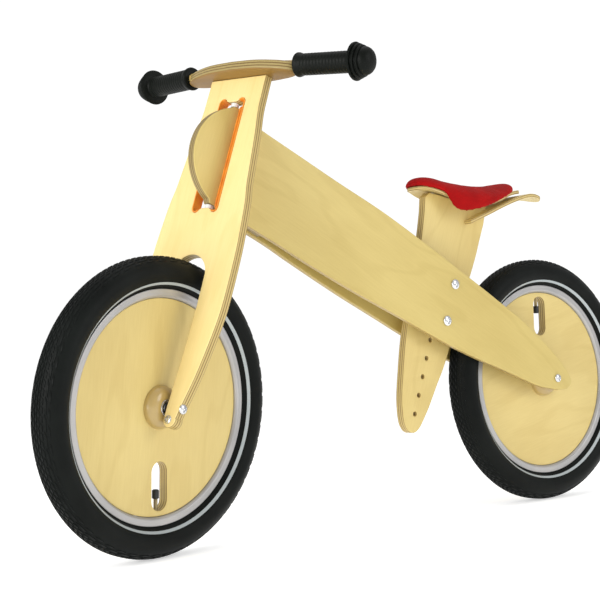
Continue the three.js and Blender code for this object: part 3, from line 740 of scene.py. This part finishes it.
def rim_mesh(name):
    half = [(146.3, 7.9), (146.9, 9.4), (149.0, 11.8), (150.4, 12.2), (154.0, 11.9), (157.4, 12.2),
            (158.4, 11.5), (158.2, 10.5), (156.8, 10.1), (150.2, 10.1), (148.4, 8.6)]
    loop = half + [(r, -x) for r, x in reversed(half)]
    return turned_mesh(name, rounded(loop, 0.5, 3), 160)


def valve_slot():
    middle, reach, half_width = 106.0, 19.0, 14.0
    return (arc(0, middle + reach, half_width, 0, math.pi, 20)
            + arc(0, middle - reach, half_width, math.pi, 2 * math.pi, 20))


def boss_mesh(name):
    dome = smooth([(BOSS_RADIUS, 9.5), (29.3, 11.4), (28, 14.6), (25, 18), (21, 20.5), (16.5, 22),
                   (12.6, BOSS_FACE)], 20)
    profile = [(6, PLY / 2 + 0.1), (BOSS_RADIUS, PLY / 2 + 0.1), *dome, (11.9, BOSS_FACE - 0.2),
               (11.3, BOSS_FACE - 0.6), (11.3, BOSS_FACE - 7.3), (6, BOSS_FACE - 7.3)]
    return turned_mesh(name, profile, 96)


def bearing_mesh(name):
    inner, outer, low, high = 3.3, 11.0, BOSS_FACE - 7, BOSS_FACE - 0.1
    profile = [(inner, low), (outer, low), (outer, high - 0.5), (outer - 0.5, high), (9.4, high),
               (9.2, high - 0.5), (6.0, high - 0.5), (5.8, high + 0.2), (inner + 0.3, high + 0.2),
               (inner, high - 0.1)]
    return turned_mesh(name, profile, 64)


def valve_cap_mesh(name):
    """Black cap with fine finger ribs."""
    mesh = turned_mesh(name, [(0, 111.0), (3.6, 111.0), (4.6, 111.8), (4.9, 112.8), (4.9, 116), (4.9, 119),
                              (4.9, 122), (4.6, 122.9), (3.4, 123), (3.4, 112.5), (0, 112.5)], 60, False)
    for vertex in mesh.vertices:
        radius = math.hypot(vertex.co.y, vertex.co.z)
        if radius > 4.7:
            angle = math.atan2(vertex.co.z, vertex.co.y)
            shrink = 1 - 0.05 * (0.5 + 0.5 * math.cos(20 * angle))
            vertex.co.y *= shrink
            vertex.co.z *= shrink
    return mesh


def valve_mesh(name):
    """Threaded stem and its core, drawn along X and turned upright later."""
    threads = []
    start, pitch = 115.0, 0.8
    for i in range(34):
        threads += [(2.72, start + pitch * i), (3.0, start + pitch * (i + 0.5))]
    profile = [(0, 113.2), (2.0, 113.2), (2.0, 114.8), *threads, (3.0, 150), (3.0, 160), (0, 160)]
    return turned_mesh(name, profile, 24, False)


UPRIGHT = Matrix.Rotation(-math.pi / 2, 4, "Y")


def add_wheel(end, placing):
    body = f"{end}_wheel"
    disc = board_mesh(f"{end}_disc_board", circle(0, 0, DISC_RADIUS, 160), PLY, 0.9, [valve_slot()])
    add_object(f"{end}_disc_board", disc, placing @ drawn_facing_x(), f"{end}_disc", body, f"{end}_disc")
    add_object(f"{end}_tyre_carcass", tyre_mesh("tyre"), placing, "tyre", body, f"{end}_tyre")
    add_object(f"{end}_tyre_tread", tread_mesh("tread"), placing, "tyre", body)
    add_object(f"{end}_tyre_stripe", stripe_mesh("stripe"), placing, "stripe", body)
    add_object(f"{end}_rim_ring", rim_mesh("rim"), placing, f"{end}_rim", body, f"{end}_rim")
    for side, sign in SIDES.items():
        add_object(f"{end}_hub_boss_{side}", boss_mesh("boss"), on_side(placing, sign), f"{end}_boss",
                   body, f"{end}_boss_{side}")
        add_object(f"{end}_ball_bearing_{side}", bearing_mesh("bearing"), on_side(placing, sign), "steel",
                   body, f"{end}_bearing_{side}")
    add_object(f"{end}_valve_stem", valve_mesh("valve"), placing @ UPRIGHT, "brass", body, f"{end}_valve")
    add_object(f"{end}_dust_cap", valve_cap_mesh("cap"), placing @ UPRIGHT, "black", body,
               f"{end}_valve_cap")


# ---------------------------------------------------------------- fork and handlebar
FORK_TOP = 486.0
SLOT_OUT, SLOT_LOW, SLOT_HIGH, SLOT_POCKET = 17.5, 286.5, 447, 7  # round pockets at the slot's corners
TAB_LOW, TAB_HIGH = 286, 448.5  # the pivot bolts' tabs reach into the slot to here


def fork_outline():
    side = smooth([(52, FORK_TOP), (52.5, 455), (53.5, 431), (59, 394), (65, 340), (67.5, 319), (72.5, 293),
                   (76, 260), (78, 236), (79, 214), (79.5, 175), (78.5, 136), (73.7, 100), (64, 50), (55, 17),
                   (50, 0), (46.5, -14)], 90)
    tip = arc(36.5, -16, 11, 0.1, -math.pi, 28)
    inside = smooth([(25.3, 0), (28.7, 48), (31, 93), (32.2, 138), (32, 184)], 24)
    arch = arc(0, 184, 32, 0, math.pi / 2, 20)[1:]
    half = side + tip + inside + arch
    return half + mirrored(half)[1:]


def slot_wall(inset, turn, steps):
    """One side of the fork's slot, from its lower pocket round to its upper one."""
    radius = SLOT_POCKET - inset
    return (arc(SLOT_OUT, SLOT_LOW, radius, -turn * math.pi, 0, steps)
            + arc(SLOT_OUT, SLOT_HIGH, radius, 0, turn * math.pi, steps))


def slot_outline():
    half = [(0, TAB_LOW), (7, TAB_LOW), *slot_wall(0, 0.85, 20), (7, TAB_HIGH), (0, TAB_HIGH)]
    return half + mirrored(half)[1:-1]


def liner_outline():
    return slot_wall(0.2, 0.8, 18) + slot_wall(1.8, 0.8, 18)[::-1]


def add_fork():
    board = board_mesh("fork_plywood", fork_outline(), PLY, 1.6, [slot_outline()])
    add_object("fork_plywood", board, FORK @ drawn_facing_y(), "fork", "fork", "fork_board")
    for side, sign in SIDES.items():
        liner = board_mesh("liner", liner_outline(), PLY + 1.2, 0.4)
        add_object(f"slot_leather_{side}", liner, on_side(FORK, sign) @ drawn_facing_y(), "leather",
                   "fork", f"slot_liner_{side}")


def bar_outline():
    half = smooth([(0, -30), (40, -27.5), (70, -21), (90, -13.5), (98, -8), (100, -1), (97, 6), (85, 10.5),
                   (60, 13.5), (30, 15.5), (0, 16)], 70)
    return half + mirrored(half)[1:-1]


GRIP_START = Vector((91.2, -2, 499))
GRIP_END = Vector((214, 13.4, 500))
GRIP_FLANGE = 102


def grip_matrix():
    """Placing of a piece turned round X so that it lies along the grip, in the fork's drawing."""
    x = (GRIP_END - GRIP_START).normalized()
    y = Vector((0, 0, 1)).cross(x).normalized()
    return Matrix.Translation(GRIP_START) @ Matrix((x, y, x.cross(y))).transposed().to_4x4()


def grip_mesh(name):
    """Flared start, fine finger ridges, then a stepped end knob with three rings and a dome."""
    profile = [(7.7, 10), (15.4, 9.9), (16.6, 10.8), (17.2, 12.2), (17.0, 14.2), (16.2, 16.8), (15.2, 19.5)]
    place = 22.0
    while place < GRIP_FLANGE - 6:
        profile += [(14.9, place), (15.3, place + 1.2), (15.3, place + 3.0), (14.9, place + 4.2)]
        place += 5.2
    knob = [(14.8, -3.5), (16.2, -1.2), (24.6, -0.1), (26.1, 1.0), (26.3, 2.4), (25.5, 3.7), (22.2, 4.5),
            (22.0, 5.3), (23.6, 6.2), (24.2, 7.3), (23.7, 8.6), (20.4, 9.5), (20.2, 10.3), (21.6, 11.2),
            (22.1, 12.3), (21.6, 13.6), (18.5, 14.5), (18.4, 15.3), (19.5, 16.2), (19.0, 19.2), (17.4, 22.2),
            (14.8, 25.0), (11.0, 27.2), (6.0, 28.6), (0, 29.2)]
    knob += [(0, -0.7), (7.7, -0.7)]
    profile += [(radius, GRIP_FLANGE + x) for radius, x in knob]
    return turned_mesh(name, profile, 72, False)


def add_handlebar():
    holes = [circle(sign * 32, 0, 4.7, 28) for sign in (1, -1)]
    level = Matrix.Translation((0, 0, FORK_TOP + 0.3 + PLY / 2))
    board = board_mesh("bar_board", bar_outline(), PLY, 2.6, holes)
    add_object("handlebar_board", board, FORK @ level, "bar", "fork", "handlebar")
    for side, sign in SIDES.items():
        placing = on_side(FORK, sign) @ grip_matrix()
        low, high = -12, GRIP_FLANGE - 2
        dowel = turned_mesh("dowel", [(0, low), (7.3, low), (7.3, high), (0, high)], 40, False)
        add_object(f"handlebar_dowel_{side}", dowel, placing, "front_boss", "fork", slot="pale_birch")
        add_object(f"grip_rubber_{side}", grip_mesh("grip"), placing, "grip", "fork", f"grip_{side}")
        head = screw_head_mesh("bar_screw_head", 4.4, 2.2, False)
        top = Matrix.Translation((sign * 32, 0, FORK_TOP + PLY - 1.6)) @ UPRIGHT
        add_object(f"handlebar_screw_{side}", head, FORK @ top, "steel", "fork", f"bar_screw_{side}")


def screw_head_mesh(name, radius, height, domed=True, shank=None):
    """A button head along X with a cross recess pressed into it. Its seat is at x = 0."""
    if domed:
        top = [(radius * math.cos(a), height * (0.25 + 0.75 * math.sin(a))) for a in np.linspace(0, 1.25, 8)]
    else:
        top = [(radius, height * 0.9), (radius - 0.2, height)]
    low = shank or -6.0
    shank_radius = radius * 0.45
    profile = [(0, low), (shank_radius, low), (shank_radius, 0), (radius, 0), *top,
               (radius * 0.2, height), (0, height)]
    mesh = turned_mesh(name, profile, 48, False)
    work = bmesh.new()
    work.from_mesh(mesh)
    top_faces = [f for f in work.faces if f.calc_center_median().x > height * 0.55]
    bmesh.ops.subdivide_edges(work, edges=list({e for f in top_faces for e in f.edges}), cuts=2,
                              use_grid_fill=True)
    arm, width, depth = radius * 0.58, radius * 0.17, height * 0.62
    for vertex in work.verts:
        x, y, z = vertex.co
        if x > height * 0.5 and ((abs(y) < arm and abs(z) < width) or (abs(z) < arm and abs(y) < width)):
            vertex.co.x = x - depth * (1 - 0.4 * math.hypot(y, z) / arm)
    work.to_mesh(mesh)
    work.free()
    shade_smooth(mesh, 40)
    return mesh


def nut_mesh(name, radius, height, bore):
    """Hexagonal nut along X with a chamfered face."""
    outside = [(radius, 0), (radius, height * 0.86), (radius * 0.9, height)]
    return turned_mesh(name, [*outside, (bore, height), (bore, 0)], 6)


def rod_mesh(name, radius, low, high):
    profile = [(0, low), (radius - 0.3, low), (radius, low + 0.4), (radius, high), (0, high)]
    return turned_mesh(name, profile, 32, False)


def spacer_mesh(name, high):
    low = BOSS_FACE + 0.6
    return turned_mesh(name, rounded([(3.4, low), (7.0, low), (7.0, high), (3.4, high)], 0.5), 48)


def add_axle(end, body, placing, reach, spacer_high):
    seat = Matrix.Translation((reach + 0.3, 0, 0))
    head = joined("axle", [moved(screw_head_mesh("head", 6.9, 4.1), seat),
                           rod_mesh("rod", 3.0, -reach - 4, reach + 0.3)])
    add_object(f"{end}_axle_bolt", head, placing, "steel", body, f"{end}_axle")
    nut = moved(nut_mesh("nut", 6.4, 5.0, 3.3), Matrix.Translation((reach + 0.3, 0, 0)))
    add_object(f"{end}_axle_hex_nut", nut, placing @ MIRROR_X, "steel", body, f"{end}_axle_nut")
    for side, sign in SIDES.items():
        add_object(f"{end}_spacer_ring_{side}", spacer_mesh("spacer", spacer_high), on_side(placing, sign),
                   "black", body, f"{end}_spacer_{side}")


def moved(mesh, matrix):
    mesh.transform(matrix)
    if matrix.determinant() < 0:
        mesh.flip_normals()
    return mesh


def add_fork_fasteners():
    hub = FORK @ Matrix.Translation((0, -AXLE_LEAD, 0))
    add_axle("front", "fork", hub, FRONT_REACH, FRONT_SPACER_END)
    for side, sign in SIDES.items():
        front = (Matrix.Translation((sign * 34.5, -PLY / 2 - 0.05, -16.7))
                 @ Matrix.Rotation(-math.pi / 2, 4, "Z"))
        add_object(f"leg_screw_head_{side}", screw_head_mesh("leg_screw", 6.0, 2.8, True, -13.0),
                   FORK @ front, "steel", "fork", f"leg_screw_{side}")


# ---------------------------------------------------------------- frame
PANEL = 9.0
INNER_FACE = [(40, 7.8), (130, 7.8), (200, 8.0), (300, 13.4), (450, 23.4), (560, 28.6), (660, 31.2),
              (740, 32), (840, 32.2)]
SEAT_BOLTS = {"lower": (516.6, 304.4), "upper": (537.2, 361.4)}
HOLE_STEP = (-10.32, -28.49)


def inner_face():
    table = np.array(smooth(INNER_FACE, 200))
    return lambda y: float(np.interp(y, table[:, 0], table[:, 1]))


PANEL_INSIDE = inner_face()


def panel_outline():
    bottom = smooth([(156, 447), (206, 422), (254, 396), (340, 352), (424, 312), (463, 293), (523, 265),
                     (586, 239.5), (629.5, 224), (674, 207), (719, 191), (767, 182.5)], 70)
    tip = smooth([(785, 183.5), (795, 190), (797, 199), (789, 213)], 16)
    top = smooth([(773, 231), (751.5, 250), (728, 269), (681, 304), (653, 321), (560, 378), (462, 437),
                  (395, 476), (320, 515), (249, 553), (190, 584)], 64)
    return [(134.9, 457.6), *bottom, *tip, *top, (182, 588.5)]


def panel_mesh(name):
    mesh = board_mesh(name, panel_outline(), PANEL, 1.3)
    slice_mesh(mesh, 0, [150 + 18 * i for i in range(36)])
    warp(mesh, lambda co: Vector((PANEL_INSIDE(co.x) + PANEL / 2 + co.z, co.x, co.y)))
    merge_close(mesh, 0.002)
    shade_smooth(mesh)
    return mesh


def head_outline():
    moon = arc(25, 368.5, 77, math.pi - 1.121, math.pi + 1.121, 90)
    return [(0, 292.5), (10, 292.5), (40, 289.5), (93, 281.5), (93, 413), (50, 421), (38, 433), (20, 442),
            (0, 442), (-5.5, 441), *moon, (-5.5, 293.5)]


def cuff_outline():
    front, back, low, high, corner = 3, 35, 288, 447, 6
    return (arc(back - corner, high - corner, corner, 0, math.pi / 2, 8)
            + arc(front + corner, high - corner, corner, math.pi / 2, math.pi, 8)
            + arc(front + corner, low + corner, corner, math.pi, 1.5 * math.pi, 8)
            + arc(back - corner, low + corner, corner, 1.5 * math.pi, 2 * math.pi, 8))


def add_frame():
    for side, sign in SIDES.items():
        add_object(f"frame_board_{side}", panel_mesh("panel"), on_side(FRAME, sign), "panel", "frame",
                   f"frame_panel_{side}")
        cuff = board_mesh("cuff", cuff_outline(), 2.2, 0.6)
        sideways = Matrix.Translation((8.9, 0, 0)) @ drawn_facing_x()
        add_object(f"steering_leather_{side}", cuff, on_side(HEAD, sign) @ sideways, "leather", "frame",
                   f"leather_cuff_{side}")
    head = board_mesh("head", head_outline(), PLY, 1.8)
    add_object("half_moon_board", head, HEAD @ drawn_facing_x(), "head", "frame", "head_board")
    for name, low, high in (("upper", 442.3, 448.2), ("lower", 286.3, 292.2)):
        ring = turned_mesh("bushing", rounded([(3.3, low), (5.6, low), (5.6, high), (3.3, high)], 0.5), 48)
        add_object(f"{name}_pivot_bush", ring, HEAD @ UPRIGHT, "nylon", "frame", f"{name}_bushing")


# ---------------------------------------------------------------- seat post and saddle
TAIL_PATH = [(596, 463.5), (630, 477.5), (665, 491.5), (700, 503), (735, 511), (765, 511), (790, 506)]
BOARD_UNDER = [(488, 512), (508, 514), (535, 511), (570, 504), (610, 501), (650, 503), (690, 510),
               (724, 515.5)]
SEAT_PLY = 6.0


def post_outline():
    front = smooth([(508, 480), (499, 440), (477, 362), (455.5, 285), (444.5, 224), (439.5, 186),
                    (440, 160)], 40)
    rear = smooth([(483, 151.5), (497, 172), (515, 203), (537, 240), (575, 320), (614, 400), (629, 436),
                   (640, 462)], 44)
    tip = smooth([(440, 160), (443, 146), (451, 135.5), (462, 133), (473, 139), (483, 151.5)], 16)[1:-1]
    top = smooth([(640, 500.5), (610, 498.4), (575, 500.6), (540, 507.5)], 12)
    return [(511, 503), *front, *tip, *rear, (646, 482), (650, 498), *top, (520, 510)]


def post_holes():
    lower = SEAT_BOLTS["lower"]
    places = [(lower[0] + HOLE_STEP[0] * i, lower[1] + HOLE_STEP[1] * i) for i in range(1, 6)]
    return [circle(y, z, 3.6, 28) for y, z in (*places, *SEAT_BOLTS.values())]


def path_height(path):
    table = np.array(smooth(path, 120))
    return lambda y: float(np.interp(y, table[:, 0], table[:, 1]))


def bent_board(name, outline, path, lift, droop=None):
    """A flat board bent in its side view, so that its middle follows the path. droop lowers its sides."""
    height = path_height(path)
    mesh = board_mesh(name, outline, SEAT_PLY, 1.4)
    places = [v for _, v in outline]
    slice_mesh(mesh, 1, [min(places) + 6 * i for i in range(1, int((max(places) - min(places)) / 6))])
    slice_mesh(mesh, 0, range(-35, 36, 7))

    def bend(co):
        slope = (height(co.y + 1) - height(co.y - 1)) / 2
        scale = 1 / math.hypot(1, slope)
        low = droop(co.x, co.y) if droop else 0.0
        return Vector((co.x, co.y - slope * scale * co.z, height(co.y) + lift + scale * co.z - low))
    warp(mesh, bend)
    merge_close(mesh, 0.002)
    shade_smooth(mesh)
    return mesh


def saddle_droop(x, y):
    """How far the seat board's sides bend down, most behind the nose and nothing at the rear tab."""
    amount = float(np.interp(y, [488, 505, 518, 537, 600, 660, 700], [1.0, 4.5, 7.0, 9.0, 9.0, 4.0, 0.0]))
    return amount * (x / 30) ** 2


def board_plan():
    half = smooth([(0, 489), (12, 491), (20, 500), (26, 516), (29, 535), (33, 565), (38, 605), (36, 650),
                   (27, 685), (22, 705), (17, 719), (0, 724)], 60)
    return half + mirrored(half)[1:-1]


def tail_plan():
    half = smooth([(22, 596), (30, 640), (31, 690), (26, 738), (17, 768), (8, 781), (0, 784)], 40)
    return half + mirrored(half)[1:]


def add_seat_post():
    post = board_mesh("post", post_outline(), PLY, 1.6, post_holes())
    add_object("seat_post_board", post, FRAME @ drawn_facing_x(), "post", "frame", "seat_post")
    seat = bent_board("seat_board", board_plan(), BOARD_UNDER, SEAT_PLY / 2, saddle_droop)
    add_object("bent_seat_board", seat, FRAME, "seat", "frame", "seat_board")
    tail = bent_board("tail_board", tail_plan(), TAIL_PATH, 0)
    add_object("bent_tail_board", tail, FRAME, "seat", "frame", "tail_board")
    for name, (y, z) in SEAT_BOLTS.items():
        reach = PANEL_INSIDE(y) + PANEL + 0.1
        spot = FRAME @ Matrix.Translation((0, y, z))
        seat = Matrix.Translation((reach, 0, 0))
        bolt = joined("seat_bolt", [moved(screw_head_mesh("head", 8.2, 4.4), seat),
                                    rod_mesh("rod", 3.4, -reach - 5.5, reach)])
        add_object(f"seat_bolt_{name}_button", bolt, spot, "steel", "frame", f"seat_bolt_{name}")
        nut = moved(nut_mesh("nut", 7.4, 6.0, 4.0), seat)
        add_object(f"seat_hex_nut_{name}", nut, spot @ MIRROR_X, "steel", "frame", f"seat_nut_{name}")


# the saddle cover: rows from nose to rear as (y, half width, crown z, edge z, hem z, side swell)
PAD_ROWS = [
    (487.5, 8, 525.0, 522.5, 519.5, 1.0), (490.5, 15.5, 529.8, 524.0, 518.5, 1.5),
    (497, 22, 533.0, 524.6, 517.0, 1.5), (507, 27.5, 534.5, 523.4, 514.5, 1.5),
    (519, 30.5, 534.0, 521.2, 512.0, 1.5), (529, 32, 532.6, 519.0, 509.5, 1.5),
    (535.5, 33.5, 531.3, 515.8, 504.0, 1.5), (541, 35, 530.2, 514.0, 493.0, 2.0),
    (547, 37, 528.9, 512.0, 483.5, 2.5), (556, 40, 527.3, 510.0, 478.2, 3.0),
    (569, 43.2, 525.2, 508.0, 477.2, 3.5),
    (590, 48, 522.8, 506.0, 480.5, 4.0), (618, 50.5, 521.4, 505.6, 488.5, 4.0),
    (645, 48.5, 523.0, 509.5, 498.5, 3.5), (668, 42, 527.2, 516.5, 506.5, 3.0),
    (686, 33, 531.2, 523.0, 513.0, 2.5), (699, 21, 531.2, 525.5, 516.5, 1.5),
    (706.5, 9, 526.5, 523.5, 519.0, 1.0)]
COVER_VOXEL = 0.0024  # metres
COVER_CAP = 0.0025  # how far the stuffing may move a point, metres
CLOTH_FRAMES = 20
COVER_HELD_BELOW = 497.0  # the drape's lower part is stitched down under this height in the frame's drawing


def pad_section(row, thickness):
    """Half of one section, from the crown down to the hem, then back up the inside."""
    y, half, crown, edge, hem, swell = row
    outer = [(0, crown), (half * 0.30, crown - 0.25), (half * 0.58, crown - 0.22 * (crown - edge)),
             (half * 0.82, crown - 0.62 * (crown - edge)), (half * 0.96, edge - 0.6),
             (half + swell * 0.35, edge - 0.35 * (edge - hem)),
             (half + swell * 0.2, edge - 0.7 * (edge - hem)),
             (half - 0.6, hem + 1.2), (half - 2.2, hem)]
    floor = min(crown - thickness, edge - 2.0)
    inner = [(half - 3.9, hem + 1.2), (half - 4.4, edge - 0.7 * (edge - hem)),
             (half - 4.6, edge - 0.35 * (edge - hem)), (half * 0.90 - 3.2, max(floor - 1.2, hem + 1.0)),
             (half * 0.62, max(floor, hem + 1.2)), (half * 0.30, max(floor, hem + 1.4)),
             (0, max(floor, hem + 1.4))]
    return [(max(0, x), y, z) for x, z in outer + inner]


def pad_mesh(name):
    rows = np.array(smooth(PAD_ROWS, 60))
    board_top = path_height([(y, z + SEAT_PLY + 0.6) for y, z in BOARD_UNDER])
    work = bmesh.new()
    loops = []
    for row in rows:
        half = pad_section(row, row[2] - board_top(row[0]))
        loop = half + [(-x, y, z) for x, y, z in reversed(half[1:-1])]
        loops.append([work.verts.new(p) for p in loop])
    count = len(loops[0])
    for first, second in zip(loops, loops[1:]):
        for i in range(count):
            j = (i + 1) % count
            work.faces.new((first[i], first[j], second[j], second[i]))
    for loop in (loops[0], loops[-1]):
        half = count // 2
        for i in range(half):
            corners = dict.fromkeys((loop[i], loop[i + 1], loop[-i - 1 if i else 0], loop[-i]))
            if len(corners) > 2:
                work.faces.new(tuple(corners))
    bmesh.ops.recalc_face_normals(work, faces=work.faces)
    mesh = finished(work, name)
    mesh.shade_smooth()
    return mesh


def apply_modifier(obj, modifier):
    """Bakes one modifier into the object's mesh."""
    evaluated = obj.evaluated_get(bpy.context.evaluated_depsgraph_get())
    mesh = bpy.data.meshes.new_from_object(evaluated)
    obj.modifiers.remove(modifier)
    old = obj.data
    obj.data = mesh
    bpy.data.meshes.remove(old)


def stuff_cover(cover):
    """Cloth under pressure: the fabric tightens over the foam, and no point moves further than the cap."""
    remesh = cover.modifiers.new("remesh", "REMESH")
    remesh.mode = "VOXEL"
    remesh.voxel_size = COVER_VOXEL
    apply_modifier(cover, remesh)
    start = np.array([vertex.co for vertex in cover.data.vertices])
    held = cover.vertex_groups.new(name="held")
    floor = float(FRAME_ORIGIN.z) + COVER_HELD_BELOW * MM
    inside = [v.index for v in cover.data.vertices if v.normal.z < -0.35 or v.co.z < floor]
    held.add(inside, 1.0, "REPLACE")
    cloth = cover.modifiers.new("stuffing", "CLOTH")
    cloth.settings.quality = 6
    cloth.settings.mass = 0.25
    cloth.settings.tension_stiffness = 18
    cloth.settings.bending_stiffness = 0.6
    cloth.settings.use_pressure = True
    cloth.settings.uniform_pressure_force = 4.0
    cloth.settings.vertex_group_mass = "held"
    cloth.settings.effector_weights.gravity = 0
    scene = bpy.context.scene
    for step in range(CLOTH_FRAMES):
        scene.frame_set(step + 1)
    stuffed = cover.evaluated_get(bpy.context.evaluated_depsgraph_get()).data
    finish = np.array([vertex.co for vertex in stuffed.vertices])
    cover.modifiers.remove(cloth)
    scene.frame_set(1)
    move = finish - start
    length = np.linalg.norm(move, axis=1, keepdims=True)
    capped = start + move * np.minimum(1, COVER_CAP / np.maximum(length, 1e-9))
    cover.data.vertices.foreach_set("co", capped.astype(np.float32).ravel())
    cover.data.update()
    even = cover.modifiers.new("even", "SMOOTH")
    even.factor = 0.5
    even.iterations = 4
    apply_modifier(cover, even)
    cover.vertex_groups.clear()
    cover.data.shade_smooth()


def add_saddle_cover():
    cover = add_object("saddle_cover", pad_mesh("saddle_cover"), FRAME, "fabric", "frame", "seat_pad")
    subdivide = cover.modifiers.new("form", "SUBSURF")
    subdivide.levels = 2
    subdivide.render_levels = 2
    apply_modifier(cover, subdivide)
    stuff_cover(cover)
    last = cover.modifiers.new("surface", "SUBSURF")
    last.levels = 1
    last.render_levels = 1


# ---------------------------------------------------------------- CAD nodes that stay as they are
KEPT_NODES = {
    "post_guide_left": "rear_boss", "post_guide_right": "rear_boss", "front_inner_tube": "tube",
    "rear_inner_tube": "tube", "seat_screw_front": "steel", "seat_screw_rear": "steel",
    "upper_pivot_bolt": "steel", "lower_pivot_bolt": "steel"}


def finish_kept_nodes():
    for name, material in KEPT_NODES.items():
        mesh = frame["nodes"][name].data
        mesh.materials.clear()
        mesh.materials.append(MATERIALS[material])


# ---------------------------------------------------------------- the whole scene
add_camera()
add_studio()
add_wheel("front", FRONT_WHEEL)
add_wheel("rear", REAR_WHEEL)
add_fork()
add_handlebar()
add_fork_fasteners()
add_frame()
add_axle("rear", "frame", FRAME @ Matrix.Translation((0, WHEELBASE, WHEEL_RADIUS)), REAR_REACH,
         REAR_SPACER_END)
add_seat_post()
add_saddle_cover()
finish_kept_nodes()
